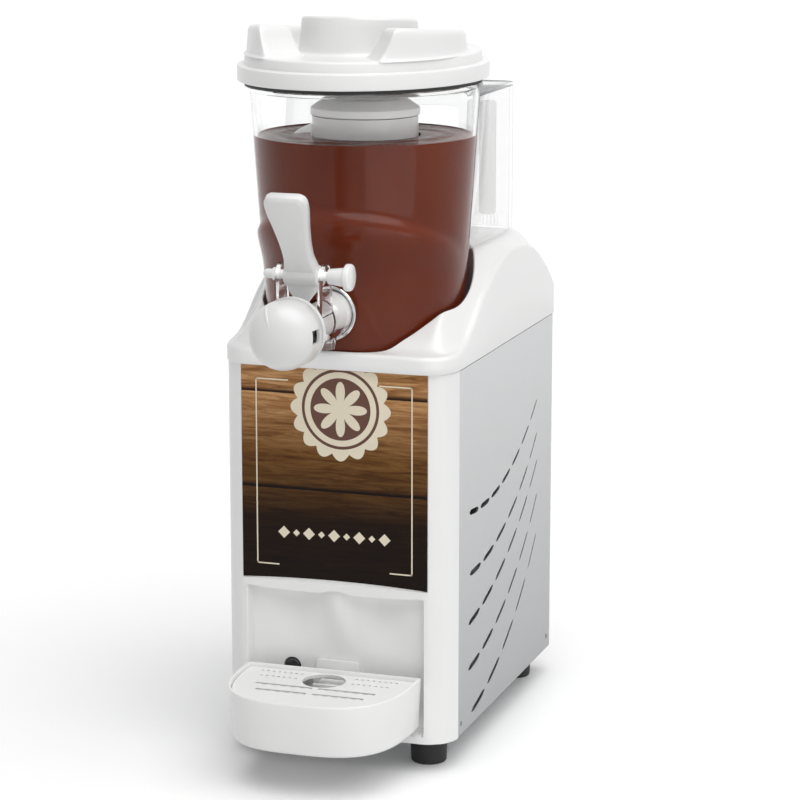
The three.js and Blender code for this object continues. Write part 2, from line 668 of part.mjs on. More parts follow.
function makeTopCasing() {
  const proud = bodyOutline(-0.6, -CASING_PROUD, BODY_DEPTH + 0.6, FRONT_CORNER + 3);
  const outer = casingSolid(CASING_X, CASING_Y, 0, CASING_BOTTOM).intersect(raised(proud, 300, 450));
  const innerX = [0, 70, 86, 97.6];
  const innerY = [-1, 9, 18, 43, 80, 126, 215, 256, 292, 317.4];
  const hollowPlan = bodyOutline(WALL, -1, BODY_DEPTH - WALL, FRONT_CORNER - 1, REAR_CORNER - WALL);
  const hollow = casingSolid(innerX, innerY, WALL, CASING_BOTTOM - 1).intersect(raised(hollowPlan, 300, 450));
  const cup = turned(disc(POCKET_RADIUS + WALL, CASING_BOTTOM, 480), 0, POCKET_Y, 48);
  const pocket = turned(disc(POCKET_RADIUS, POCKET_FLOOR, 480), 0, POCKET_Y, 48);
  const plateHole = turned(disc(79.4, 300, 330), 0, BOWL_Y, 44);
  const casing = outer.subtract(hollow.subtract(cup)).subtract(pocket).subtract(plateHole);
  piece('top_casing', casing, white);
}

// Clear bowl: a round tapered wall with a shallow nose over the tap, a wide rim
// and a hollow grip behind

function bowlRadius(z) {
  const t = Math.max(z - BOWL_BOTTOM, 0) / (BOWL_TOP - BOWL_BOTTOM);
  return BOWL_FOOT_RADIUS + BOWL_FLARE * t ** 0.9;
}

function noseRise(angle, z) {
  const fromFront = Math.abs(angle) / 85;
  if (fromFront >= 1) return 0;
  const top = NOSE_TOP - 26 * (Math.abs(angle) / 70) ** 2;
  const shoulder = smoothstep((top - z) / 12);
  const fade = smoothstep((z - NOSE_BOTTOM) / 40);
  return NOSE_RISE * (1 - fromFront ** 4) * shoulder * fade;
}

function bowlRing(z, inset, steps = 36) {
  const points = [];
  for (let i = 0; i < steps; i++) {
    const angle = (i / steps) * 360 - 180;
    const r = bowlRadius(z) - inset + noseRise(angle, z);
    const a = THREE.MathUtils.degToRad(angle);
    points.push([r * Math.sin(a), BOWL_Y - r * Math.cos(a), z]);
  }
  return points;
}

const BOWL_LEVELS = [NOSE_BOTTOM, 400, 416, 428, 434, 440, 446, 490];

function makeBowl() {
  const skin = stacked([BOWL_BOTTOM, ...BOWL_LEVELS, BOWL_TOP + 1].map((z) => bowlRing(z, 0)));
  const inside = [BOWL_BOTTOM + 3.4, ...BOWL_LEVELS, BOWL_TOP + 6];
  const cavity = stacked(inside.map((z) => bowlRing(z, BOWL_WALL)));
  const mouth = turned(disc(BOWL_MOUTH_RADIUS, BOWL_BOTTOM - 2, BOWL_BOTTOM + 6), 0, BOWL_Y, 44);
  const rim = raised(oval(FLANGE.halfWidth, FLANGE.halfDepth, FLANGE.y), BOWL_TOP, BOWL_TOP + 3.2);
  const { halfWidth, front, rear, bottom, top, corner } = GRIP;
  const gripOuter = raised(rectangle(-halfWidth, halfWidth, front, rear, corner), bottom, top, 5);
  const hollow = rectangle(-halfWidth + WALL, halfWidth - WALL, front - 30, rear - WALL, corner - WALL);
  const gripInner = raised(hollow, bottom - 1, top - WALL, 5);
  const hand = GRIP_WINDOW.halfWidth;
  const window = box(-hand, hand, rear - 9, rear + 1, GRIP_WINDOW.bottom, GRIP_WINDOW.top);
  const beside = stacked([BOWL_BOTTOM, ...BOWL_LEVELS, BOWL_TOP + 1].map((z) => bowlRing(z, -0.05)));
  piece('bowl_grip', gripOuter.subtract(gripInner).subtract(window).subtract(beside), clear);
  const tapHole = turnedAlongY(disc(BARREL_OUTER + FIT, -20, 12), 0, TAP_Z, 32);
  piece('bowl', joined([skin, rim]).subtract(cavity).subtract(mouth).subtract(tapHole), clear);
}

// Lid: an oval rim in two steps and a raised block with a funnel, a round valley and a grip

function lidLayer(inset, z0, z1, draft = 1) {
  const steps = 40;
  const rings = [[z0, 0], [z1 - 1.6, draft * 0.4], [z1, draft + 1.2]].map(([z, extra]) => {
    const points = [];
    for (let i = 0; i < steps; i++) {
      const t = (i / steps) * 2 * Math.PI;
      const a = LID.halfWidth - inset - extra;
      const b = LID.halfDepth - inset - extra;
      points.push([a * Math.cos(t), LID.y + b * Math.sin(t), z]);
    }
    return points;
  });
  return stacked(rings);
}

function lidBlock(inset, z0, z1) {
  const levels = [[z0, 0], [z1 - 4, 1.5], [z1 - 1.2, 2.6], [z1, 4.4]];
  return stacked(levels.map(([z, extra]) => {
    const steps = 36;
    const points = [];
    for (let i = 0; i < steps; i++) {
      const t = (i / steps) * 2 * Math.PI;
      const a = LID_BLOCK.halfWidth - inset - extra;
      const b = LID_BLOCK.halfDepth - inset - extra;
      points.push([a * Math.cos(t), LID_BLOCK.y + b * Math.sin(t), z]);
    }
    return points;
  }));
}

// The tops of the block and the grip fall towards the back, and their feet stay level
function sloped(shape) {
  const { slope, y, from, to } = LID_FALL;
  return shape.warp((p) => {
    const share = Math.min(Math.max((p[2] - from) / (to - from), 0), 1);
    p[2] -= slope * share * (p[1] - y);
  });
}

// The funnel in front of the grip: it narrows to the back and its walls lean out
function lidFunnel(grow) {
  const { y, halfWidth, taper, flare, rise } = LID_FUNNEL;
  const section = (place) => {
    const foot = halfWidth - taper * (place - y) + grow * Math.hypot(1, taper);
    const right = [0, 3, 7, 13, 20, 28, 36].map((up) => {
      const lean = flare * (1 - (1 - Math.min(up / rise, 1)) ** 1.7);
      return [foot + lean, place, LID_VALLEY.floor - grow + up];
    });
    return [...right, ...right.map(([x, , z]) => [-x, place, z]).reverse()];
  };
  return stacked([section(-46), section(20)]);
}

function lidTower(inset, foot) {
  const { footRadius, topRadius, top } = LID_TOWER;
  const profile = [
    [0, foot], [footRadius + 2.2 - inset, foot], [footRadius + 2.2 - inset, LID_VALLEY.floor],
    [footRadius + 0.4 - inset, LID_VALLEY.floor + 2], [footRadius - inset, LID_VALLEY.floor + 4],
    [topRadius - inset, top - 1.6 - inset], [topRadius - 1.4 - inset, top - inset], [0, top - inset],
  ];
  return turned(profile, 0, LID_VALLEY.y, 44);
}

function makeLid() {
  const { y, radius, floor } = LID_VALLEY;
  const rim = lidLayer(0, LID.bottom, LID.rimTop);
  const step = lidLayer(LID_STEP_INSET, LID.rimTop - 2, LID.stepTop);
  const valley = (grow) => turned(disc(radius + grow, floor - grow, LID_BLOCK.top + 20), 0, y, 44);
  const block = lidBlock(0, LID.stepTop - 2, LID_BLOCK.top).subtract(lidFunnel(0)).subtract(valley(0));
  const tower = lidTower(0, LID.stepTop - 2);
  const solidLid = joined([rim, step, sloped(block), sloped(tower)]);
  const skirt = raised(oval(LID.halfWidth - 3, LID.halfDepth - 3, LID.y), LID.bottom - 1, LID.bottom + 5);
  const stepPlan = oval(LID.halfWidth - 14, LID.halfDepth - 16, LID.y);
  const underStep = raised(stepPlan, LID.bottom + 4, LID.stepTop - 3);
  const insideBlock = lidBlock(WALL, LID.stepTop - 4, LID_BLOCK.top - WALL);
  const underBlock = insideBlock.subtract(lidFunnel(WALL)).subtract(valley(WALL));
  const underTower = lidTower(WALL, LID.stepTop - 4);
  const hollow = joined([skirt, underStep, sloped(underBlock), sloped(underTower)]);
  piece('lid', solidLid.subtract(hollow), white);
  const gasketPlan = (inset) => oval(FLANGE.halfWidth - inset, FLANGE.halfDepth - inset, FLANGE.y);
  const gasket = raised(gasketPlan(0), BOWL_TOP + 3.5, LID.bottom + 4.6);
  piece('lid_gasket', gasket.subtract(raised(gasketPlan(4), BOWL_TOP, LID.bottom + 6)), rubber);
}

// Stirrer: a sleeve with a hat over the heated column, and a spiral blade

function makeStirrer() {
  const sleeve = turned(ring(SLEEVE_INNER, SLEEVE_OUTER, SLEEVE_BOTTOM, HAT.brim - FIT), 0, BOWL_Y, 36);
  piece('stirrer_sleeve', sleeve, white);
  const hat = turned([
    [SHAFT_RADIUS + 0.4, HAT.brim], [SHAFT_RADIUS + 6, HAT.brim], [SHAFT_RADIUS + 6, HAT.shoulder],
    [SLEEVE_INNER - 2, HAT.shoulder - 3], [SLEEVE_INNER - 2, HAT.brim], [HAT.radius, HAT.brim],
    [HAT.radius, HAT.shoulder - 2], [HAT.radius - 1, HAT.shoulder], [HAT.topRadius, HAT.top], [0, HAT.top],
    [0, 521.5], [SHAFT_RADIUS + 0.4, 521.5], [SHAFT_RADIUS + 0.4, HAT.brim],
  ], 0, BOWL_Y, 36);
  piece('stirrer_hat', hat, white);
  const stepsPerTurn = 20;
  const turns = (BLADE.top - BLADE.bottom - 6) / BLADE.pitch;
  const steps = Math.round(turns * stepsPerTurn);
  const section = (i) => {
    const angle = Math.PI / 2 + (i / stepsPerTurn) * 2 * Math.PI;
    const z = BLADE.top - 6 - (i / stepsPerTurn) * BLADE.pitch;
    const point = (r, dz) => [r * Math.cos(angle), BOWL_Y + r * Math.sin(angle), z + dz];
    const { inner } = BLADE;
    const tip = i === 0 || i === steps ? BLADE.outer - 6 : BLADE.outer;
    const { thickness } = BLADE;
    return [point(inner, 0), point(tip, 1), point(tip, 1 - thickness), point(inner, -thickness - 1)];
  };
  const rings = [];
  for (let i = 0; i <= steps; i++) rings.push(section(i));
  piece('spiral_blade', stacked(rings), white);
}

// Tap: clear barrel with two ears, collar, spring cap, piston and lever

function makeTap() {
  const tube = turnedAlongY([
    [0, BARREL_FRONT], [BARREL_OUTER + 4, BARREL_FRONT], [BARREL_OUTER + 4, BARREL_FRONT + 6],
    [BARREL_OUTER, BARREL_FRONT + 8], [BARREL_OUTER, BARREL_BACK], [0, BARREL_BACK],
  ], 0, TAP_Z, 32);
  const bore = turnedAlongY(disc(BARREL_INNER, BARREL_FRONT + 5, BARREL_BACK + 1), 0, TAP_Z, 28);
  const rodHole = turnedAlongY(disc(6.6, BARREL_FRONT - 1, BARREL_FRONT + 6), 0, TAP_Z, 20);
  const slot = box(-5.5, 5.5, PIVOT_Y - 17, PIVOT_Y + 17, TAP_Z + 8, TAP_Z + 40);
  const ears = joined([-1, 1].map((side) => {
    const ear = new THREE.Shape();
    ear.moveTo(PIVOT_Y - 13, TAP_Z + 8);
    ear.lineTo(PIVOT_Y + 13, TAP_Z + 8);
    ear.lineTo(PIVOT_Y + 9, PIVOT_Z);
    ear.absarc(PIVOT_Y, PIVOT_Z, 9, 0, Math.PI, false);
    ear.closePath();
    const x = side * 16.2;
    return inSidePlane(ear, Math.min(x, x + side * 4), Math.max(x, x + side * 4), 6);
  }));
  const cross = turnedAlongX(disc(PIN_RADIUS + FIT, -40, 40), PIVOT_Y, PIVOT_Z, 20);
  const spoutProfile = [[0, TAP_Z - 27], [8.6, TAP_Z - 27], [10, TAP_Z - 10], [0, TAP_Z - 10]];
  const spout = turned(spoutProfile, 0, SPOUT_Y, 24);
  const spoutBore = turned(disc(6.6, TAP_Z - 28, TAP_Z), 0, SPOUT_Y, 20);
  const barrel = joined([tube, ears, spout]).subtract(bore).subtract(rodHole).subtract(slot)
    .subtract(cross).subtract(spoutBore);
  piece('tap_barrel', barrel, clear);
  const collar = ring(BARREL_OUTER + FIT, BARREL_OUTER + 2.6, -9.4, -5);
  piece('tap_collar', turnedAlongY(collar, 0, TAP_Z, 32), steel);

  const cap = turnedAlongY(capProfile(CAP_RADIUS, 0), 0, TAP_Z, 32);
  const inside = turnedAlongY(capProfile(CAP_RADIUS - 2.4, 2.4), 0, TAP_Z, 24);
  const lug = box(CAP_RADIUS - 8, CAP_RADIUS + 2, CAP_REAR - 12, CAP_REAR - 4, TAP_Z - 5, TAP_Z + 5);
  piece('tap_cap', cap.subtract(inside).subtract(lug), white);
}

// The cap closes over the barrel's front flange, so its back ring turns inwards
function capProfile(radius, inset) {
  const front = CAP_REAR - CAP_STRAIGHT;
  const points = [];
  const steps = 6;
  const depth = CAP_DOME - inset;
  points.push([0, front - depth]);
  for (let i = 1; i <= steps; i++) {
    const t = (i / steps) * (Math.PI / 2);
    points.push([radius * Math.sin(t), front - depth * Math.cos(t) ** 0.8]);
  }
  const rear = CAP_REAR + (inset > 0 ? 1 : 0);
  points.push([radius, rear], [0, rear]);
  return points;
}

function makePin() {
  const pin = turnedAlongX([
    [0, -33], [2.6, -32], [3.8, -29.5], [3.8, -25], [5, -24.6], [5, -22.4], [PIN_RADIUS, -22],
    [PIN_RADIUS, 21], [6, 22], [8, 35], [10.8, 36], [10.8, 40], [9.6, 41], [0, 41],
  ], PIVOT_Y, PIVOT_Z, 24);
  piece('pivot_pin', pin, white);
}

// The lever leans forward over the cap; its finger reaches down into the barrel
function makeLever() {
  const { lean, length, topHalfWidth, waistHalfWidth, thickness } = LEVER;
  const blade = new THREE.Shape();
  const top = length;
  blade.moveTo(-14, -3);
  blade.lineTo(14, -3);
  blade.lineTo(14, 8);
  blade.quadraticCurveTo(waistHalfWidth, 11, waistHalfWidth, 20);
  blade.quadraticCurveTo(waistHalfWidth + 0.5, 34, topHalfWidth, 66);
  blade.lineTo(topHalfWidth, top - 12);
  blade.quadraticCurveTo(topHalfWidth, top, topHalfWidth - 10, top);
  blade.lineTo(-topHalfWidth + 10, top);
  blade.quadraticCurveTo(-topHalfWidth, top, -topHalfWidth, top - 12);
  blade.lineTo(-topHalfWidth, 66);
  blade.quadraticCurveTo(-waistHalfWidth - 0.5, 34, -waistHalfWidth, 20);
  blade.quadraticCurveTo(-waistHalfWidth, 11, -14, 8);
  blade.closePath();
  const g = new THREE.ExtrudeGeometry(blade, {
    depth: thickness - 2.4, bevelEnabled: true, bevelSize: 1.2, bevelThickness: 1.2, bevelOffset: -1.2,
    bevelSegments: 2, curveSegments: 6,
  });
  g.translate(0, 0, -thickness / 2 + 1.2);
  g.rotateX(Math.PI / 2 + THREE.MathUtils.degToRad(lean));
  g.translate(0, PIVOT_Y, PIVOT_Z);
  const hub = turnedAlongX(disc(8.4, -14, 14), PIVOT_Y, PIVOT_Z, 28);
  const finger = box(-4, 4, PIVOT_Y - 2.5, PIVOT_Y + 2.5, TAP_Z + 7.4, PIVOT_Z);
  const bore = turnedAlongX(disc(PIN_RADIUS + FIT, -20, 20), PIVOT_Y, PIVOT_Z, 20);
  piece('tap_lever', joined([solid(g), hub, finger]).subtract(bore), white);
}

function makePiston() {
  const rod = 6;
  const land = BARREL_INNER - 0.6;
  const collar = 12;
  const profile = [
    [0, -124], [12, -124], [12, -120], [rod, -120], [rod, -82], [collar, -82], [collar, PIVOT_Y - 5.2],
    [rod, PIVOT_Y - 5.2], [rod, PIVOT_Y + 5.2], [collar, PIVOT_Y + 5.2], [collar, -60], [rod, -60],
    [rod, -50], [land, -50], [land, -47.4], [land - 3, -47.4], [land - 3, -43.6], [land, -43.6],
    [land, -41], [rod, -41], [rod, -8], [land, -8], [land, -5], [land - 3, -5], [land - 3, -1.2],
    [land, -1.2], [land, 1.4], [land - 3, 3], [0, 3],
  ];
  piece('tap_piston', turnedAlongY(profile, 0, TAP_Z, 22), white);
  const seal = (y) => turnedAlongY(ring(land - 2.7, land + 0.3, y - 1.5, y + 1.5), 0, TAP_Z, 28);
  piece('piston_seal_front', seal(-45.5), rubber);
  piece('piston_seal_rear', seal(-3.1), rubber);
  piece('tap_spring', turnedAlongY(ring(8.2, 11.4, -119.6, BARREL_FRONT - 0.4), 0, TAP_Z, 24), steel);
}

// Drip tray, its grille and the bracket that it slides onto

function trayOutline(inset, steps = 26) {
  const { halfWidth, depth, rear } = TRAY;
  const a = halfWidth - inset;
  const b = depth - inset;
  const points = [[a, rear - inset]];
  for (let i = 1; i < steps; i++) {
    const t = (i / steps) * Math.PI;
    const c = Math.cos(t);
    const s = Math.sin(t);
    const power = 2 / TRAY_EXPONENT;
    points.push([a * Math.sign(c) * Math.abs(c) ** power, rear - b * s ** power]);
  }
  points.push([-a, rear - inset]);
  return points;
}

function trayStack(levels) {
  return stacked(levels.map(([z, inset]) => trayOutline(inset).map(([x, y]) => [x, y, z])));
}

function makeTray() {
  const { bottom, top, taper, wall } = TRAY;
  const outer = trayStack([[bottom, taper + 2], [bottom + 2, taper], [top - 1, 0], [top, 0.5]]);
  const ledge = GRILLE.top - GRILLE.thickness - FIT;
  const basin = trayStack([[bottom + wall, taper + wall], [ledge, GRILLE.inset + 2]]);
  const seat = trayStack([[ledge - 0.1, GRILLE.inset - 0.5], [top + 1, GRILLE.inset - 0.9]]);
  const notch = box(-17, 17, -12, 0, 39, 51.5);
  piece('drip_tray', outer.subtract(basin).subtract(seat).subtract(notch), white);
}

const GRILLE_ROWS = { holeY: [-13, -30], slotY: [-52, -66] };

function makeGrille() {
  const low = GRILLE.top - GRILLE.thickness;
  const plate = trayStack([[low, GRILLE.inset], [GRILLE.top, GRILLE.inset]]);
  const cutters = [turned(disc(FINGER_HOLE.radius, low - 2, GRILLE.top + 2), 0, FINGER_HOLE.y, 28)];
  for (const y of GRILLE_ROWS.holeY) {
    for (let i = 0; i < 5; i++) {
      for (const side of [-1, 1]) {
        const x = side * (27 + i * 8.5);
        cutters.push(box(x - 2.4, x + 2.4, y - 2.4, y + 2.4, low - 2, GRILLE.top + 2));
      }
    }
  }
  for (const y of GRILLE_ROWS.slotY) {
    for (let i = -2; i <= 2; i++) {
      cutters.push(box(i * 22 - 9, i * 22 + 9, y - 2.2, y + 2.2, low - 2, GRILLE.top + 2));
    }
  }
  piece('drip_grille', cutters.reduce((rest, cutter) => rest.subtract(cutter), plate), white);
}

function makeTrayBracket() {
  const plate = deep(polygon([[-27, 14], [27, 14], [18, 63], [-18, 63]]), 6.4, NICHE_DEPTH - 0.4);
  const tongue = box(-14, 14, -16, 7, 43, 46.5);
  const toe = box(-14, 14, -16, -13.5, 43, 48.5);
  piece('tray_bracket', joined([plate, tongue, toe]), white);
}

makeBase();
makeFrame();
makeDrive();
makeHeater();
makeFrontPanel();
makeDecal();
makeThermostat();
makeSidePanels();
makeRearCover();
makeElectrics();
makeTopCasing();
makeBowl();
makeLid();
makeStirrer();
makeTap();
makePin();
makeLever();
makePiston();
makeTrayBracket();
makeTray();
makeGrille();

// Put the origin on the floor under the middle of the bounding box
const bounds = new THREE.Box3().setFromObject(machine);
machine.position.set(0, -(bounds.min.y + bounds.max.y) / 2, -bounds.min.z);

export default machine;
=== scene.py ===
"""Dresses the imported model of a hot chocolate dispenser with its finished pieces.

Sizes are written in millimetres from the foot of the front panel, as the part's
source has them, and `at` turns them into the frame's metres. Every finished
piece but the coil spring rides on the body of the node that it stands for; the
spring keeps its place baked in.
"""

from __future__ import annotations

import logging
import math
from dataclasses import dataclass
from enum import Enum
from typing import Callable, Sequence

import bmesh
import bpy
from mathutils import Matrix, Vector

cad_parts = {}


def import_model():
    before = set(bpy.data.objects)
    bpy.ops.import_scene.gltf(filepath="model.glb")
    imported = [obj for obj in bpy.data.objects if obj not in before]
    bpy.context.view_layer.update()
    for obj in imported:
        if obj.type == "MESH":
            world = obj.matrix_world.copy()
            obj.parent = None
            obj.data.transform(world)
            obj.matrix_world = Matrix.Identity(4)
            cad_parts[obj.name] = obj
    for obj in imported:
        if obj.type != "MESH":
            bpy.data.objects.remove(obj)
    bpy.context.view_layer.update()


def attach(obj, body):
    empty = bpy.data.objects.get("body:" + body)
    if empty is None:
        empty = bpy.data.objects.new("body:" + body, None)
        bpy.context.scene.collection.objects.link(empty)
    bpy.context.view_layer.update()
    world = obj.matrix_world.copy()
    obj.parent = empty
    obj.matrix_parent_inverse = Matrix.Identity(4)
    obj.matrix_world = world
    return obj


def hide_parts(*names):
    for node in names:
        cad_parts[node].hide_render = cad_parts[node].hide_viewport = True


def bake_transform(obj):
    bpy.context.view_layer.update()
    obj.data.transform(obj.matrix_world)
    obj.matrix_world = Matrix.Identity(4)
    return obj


LOG = logging.getLogger("dispenser")

MM = 0.001
FRONT_PLANE_Y = -0.098
BODY_FOOT_Z = 0.025
BOWL_AXIS_Y = 81.0
TAP_AXIS_Z = 360.0
EVEN = (1.0, 1.0, 1.0)
WHITE = (1.0, 1.0, 1.0)
BLACK = (0.0, 0.0, 0.0)

Point2 = tuple[float, float]
Point3 = tuple[float, float, float]
Colour = tuple[float, float, float]
Ring = list[Vector]
Piece = bpy.types.Object
Socket = bpy.types.NodeSocket
Value = Socket | float | Sequence[float]


def at(x: float, y: float, z: float) -> Vector:
    """Gives a point of the frame.

    Args:
        x: Millimetres to the right of the middle.
        y: Millimetres behind the front panel.
        z: Millimetres above the underside of the body.

    Returns:
        The same point in the frame's metres.
    """
    return Vector((x * MM, y * MM + FRONT_PLANE_Y, z * MM + BODY_FOOT_Z))


def smoothstep(value: float) -> float:
    """Returns a soft step from 0 to 1 as the value goes from 0 to 1."""
    t = min(max(value, 0.0), 1.0)
    return t * t * (3.0 - 2.0 * t)


def bump(value: float) -> float:
    """Returns a soft hill that is 1 at 0 and falls to 0 at -1 and 1."""
    return math.cos(value * math.pi / 2) ** 2 if abs(value) < 1 else 0.0


def along(stations: Sequence[Point2], place: float) -> float:
    """Reads a smooth curve through stations.

    Args:
        stations: Pairs of place and value, in rising order of place.
        place: Where the curve is read.

    Returns:
        The curve's value there, held level past either end.
    """
    last = len(stations) - 1
    if place <= stations[0][0]:
        return stations[0][1]
    if place >= stations[last][0]:
        return stations[last][1]
    i = max(k for k in range(last) if stations[k][0] <= place)

    def slope(k: int) -> float:
        """Gives the curve's slope at a station.

        Args:
            k: The station's number.

        Returns:
            The slope.
        """
        low = stations[max(k - 1, 0)]
        high = stations[min(k + 1, last)]
        return (high[1] - low[1]) / (high[0] - low[0])

    width = stations[i + 1][0] - stations[i][0]
    t = (place - stations[i][0]) / width
    value = (2 * t**3 - 3 * t**2 + 1) * stations[i][1]
    value += (3 * t**2 - 2 * t**3) * stations[i + 1][1]
    value += (t**3 - 2 * t**2 + t) * width * slope(i)
    return value + (t**3 - t**2) * width * slope(i + 1)


def spread(low: float, high: float, count: int) -> list[float]:
    """Returns evenly spaced values from low to high, both included."""
    return [low + (high - low) * i / (count - 1) for i in range(count)]


def around(count: int) -> list[float]:
    """Returns the angles of evenly spaced points round a circle, in radians."""
    return [2 * math.pi * i / count for i in range(count)]


def arc(centre: Point2, radius: float, angles: Sequence[float]) -> list[Point2]:
    """Returns the points of a circle at the given angles."""
    return [(centre[0] + radius * math.cos(a), centre[1] + radius * math.sin(a)) for a in angles]


def mirrored(half: Sequence[Point2]) -> list[Point2]:
    """Returns the right half of an outline and then its left half."""
    return list(half) + [(-x, y) for x, y in reversed(half)]


def rectangle(low: Point2, high: Point2) -> list[Point2]:
    """Returns the four corners of a rectangle."""
    return [low, (high[0], low[1]), high, (low[0], high[1])]


def crossing(rises: Callable[[float], float], low: float, high: float) -> float:
    """Finds where a value passes through zero, by halving.

    Args:
        rises: The value, below zero at the low end and above it at the high end.
        low: The place where it is below zero.
        high: The place where it is above zero.

    Returns:
        The place where it is zero.
    """
    for _ in range(40):
        middle = (low + high) / 2
        if rises(middle) > 0:
            high = middle
        else:
            low = middle
    return (low + high) / 2


# Modelling with operators


class Ends(Enum):
    """How a piece that is grown ring by ring is shut."""

    OPEN = "left open"
    FLAT = "filled with a face"
    POINT = "drawn together in its middle"
    LOOP = "joined back to the first ring"


def deselect_all() -> None:
    """Deselects every object."""
    bpy.ops.object.select_all(action="DESELECT")


def activate(piece: Piece) -> None:
    """Makes a piece the only selected object and the active one.

    Args:
        piece: The piece.
    """
    deselect_all()
    piece.select_set(True)
    bpy.context.view_layer.objects.active = piece


def move_selected(piece: Piece, ring: Ring, number: int) -> None:
    """Moves the selected ring of vertices to its place.

    Args:
        piece: The piece, in edit mode.
        ring: Where each vertex goes, in the order of its mark.
        number: The ring's number, kept as a mark for later selection.
    """
    mesh = bmesh.from_edit_mesh(piece.data)
    order = mesh.verts.layers.int["order"]
    level = mesh.verts.layers.int["level"]
    for vertex in mesh.verts:
        if vertex.select:
            vertex.co = ring[vertex[order]]
            vertex[level] = number
    bmesh.update_edit_mesh(piece.data)


def select_level(piece: Piece, number: int) -> None:
    """Selects one ring of a piece by its mark.

    Args:
        piece: The piece, in edit mode.
        number: The ring's number.
    """
    mesh = bmesh.from_edit_mesh(piece.data)
    level = mesh.verts.layers.int["level"]
    for vertex in mesh.verts:
        vertex.select = vertex[level] == number
    mesh.select_flush_mode()
    for edge in mesh.edges:
        edge.select = all(v.select for v in edge.verts)
    bmesh.update_edit_mesh(piece.data)


def grow(name: str, rings: Sequence[Ring], start: Ends = Ends.FLAT, end: Ends = Ends.FLAT) -> Piece:
    """Grows a piece from a circle that is extruded from ring to ring.

    Args:
        name: The new object's name.
        rings: Rings with equally many points, in the frame's metres.
        start: How the first ring is shut.
        end: How the last ring is shut.

    Returns:
        The new object.
    """
    rings = list(rings)
    if end is Ends.LOOP:
        rings.append(rings[0])
    deselect_all()
    bpy.ops.mesh.primitive_circle_add(vertices=len(rings[0]), radius=1.0)
    piece = bpy.context.object
    piece.name = name
    bpy.ops.object.mode_set(mode="EDIT")
    bpy.ops.mesh.select_mode(type="VERT")
    mesh = bmesh.from_edit_mesh(piece.data)
    order = mesh.verts.layers.int.new("order")
    mesh.verts.layers.int.new("level")
    mesh.verts.ensure_lookup_table()
    walk = mesh.verts[0]
    edge = walk.link_edges[0]
    for number in range(len(rings[0])):
        walk[order] = number
        walk = edge.other_vert(walk)
        edge = next(e for e in walk.link_edges if e is not edge)
    bmesh.update_edit_mesh(piece.data)
    bpy.ops.mesh.select_all(action="SELECT")
    move_selected(piece, rings[0], 0)
    for number, ring in enumerate(rings[1:], start=1):
        bpy.ops.mesh.extrude_region()
        move_selected(piece, ring, number)
    last = len(rings) - 1
    if end is not Ends.LOOP:
        for number, how in ((last, end), (0, start)):
            if how is Ends.OPEN:
                continue
            select_level(piece, number)
            if how is Ends.FLAT:
                bpy.ops.mesh.edge_face_add()
            else:
                bpy.ops.mesh.merge(type="CENTER")
    bpy.ops.mesh.select_all(action="SELECT")
    bpy.ops.mesh.remove_doubles(threshold=1e-7)
    bpy.ops.mesh.normals_make_consistent(inside=False)
    if Ends.OPEN not in (start, end) and bmesh.from_edit_mesh(piece.data).calc_volume(signed=True) < 0:
        bpy.ops.mesh.flip_normals()
    bpy.ops.object.mode_set(mode="OBJECT")
    return piece


class Axis(Enum):
    """The direction that a turned piece is turned about."""

    X = "x"
    Y = "y"
    Z = "z"

    def point(self, centre: Sequence[float], radius: float, height: float, angle: float) -> Vector:
        """Gives a point round the axis.

        Args:
            centre: The axis's own place, in millimetres.
            radius: How far the point is from the axis.
            height: How far along the axis it is.
            angle: Its angle about the axis, in radians.

        Returns:
            The point in the frame's metres.
        """
        x, y, z = centre
        across = radius * math.cos(angle)
        up = radius * math.sin(angle)
        if self is Axis.X:
            return at(x + height, y + across, z + up)
        if self is Axis.Y:
            return at(x + across, y + height, z + up)
        return at(x + across, y + up, z + height)


def turned(
    name: str,
    axis: Axis,
    centre: Sequence[float],
    profile: Sequence[Point2],
    count: int = 64,
    hollow: bool = False,
) -> Piece:
    """Turns a profile about an axis.

    Args:
        name: The new object's name.
        axis: The direction of the axis.
        centre: The axis's place, in millimetres.
        profile: Pairs of radius and height, where a radius of 0 is a pole.
        count: How many points each ring has.
        hollow: True where the profile runs back to its own start.

    Returns:
        The new object.
    """
    rings = [[axis.point(centre, max(r, 1e-3), h, a) for a in around(count)] for r, h in profile]
    if hollow:
        return grow(name, rings, end=Ends.LOOP)
    ends = [Ends.POINT if profile[i][0] == 0 else Ends.FLAT for i in (0, -1)]
    return grow(name, rings, start=ends[0], end=ends[1])


def rounded(points: Sequence[Point2], radius: float, steps: int = 5) -> list[Point2]:
    """Rounds the corners of an outline.

    Args:
        points: The outline's corners.
        radius: The corner radius, made smaller where a side is short.
        steps: How many points each corner gets, less one.

    Returns:
        The rounded outline.
    """
    made: list[Point2] = []
    total = len(points)
    for i, corner in enumerate(points):
        here = Vector(corner)
        before = Vector(points[i - 1]) - here
        after = Vector(points[(i + 1) % total]) - here
        reach = min(radius, before.length * 0.45, after.length * 0.45)
        start = here + before.normalized() * reach
        stop = here + after.normalized() * reach
        for k in range(steps + 1):
            t = k / steps
            p = start * (1 - t) ** 2 + here * 2 * t * (1 - t) + stop * t**2
            made.append((p.x, p.y))
    return made


def bevelled(piece: Piece, width: float, segments: int = 2, angle: float = 35.0) -> Piece:
    """Rounds a piece's sharp edges with a bevel.

    Args:
        piece: The piece.
        width: The bevel's width in millimetres.
        segments: How many faces the bevel has across.
        angle: The least angle, in degrees, of an edge that is rounded.

    Returns:
        The same piece.
    """
    activate(piece)
    bpy.ops.object.modifier_add(type="BEVEL")
    modifier = piece.modifiers[-1]
    modifier.width = width * MM
    modifier.segments = segments
    modifier.limit_method = "ANGLE"
    modifier.angle_limit = math.radians(angle)
    bpy.ops.object.modifier_apply(modifier=modifier.name)
    return piece


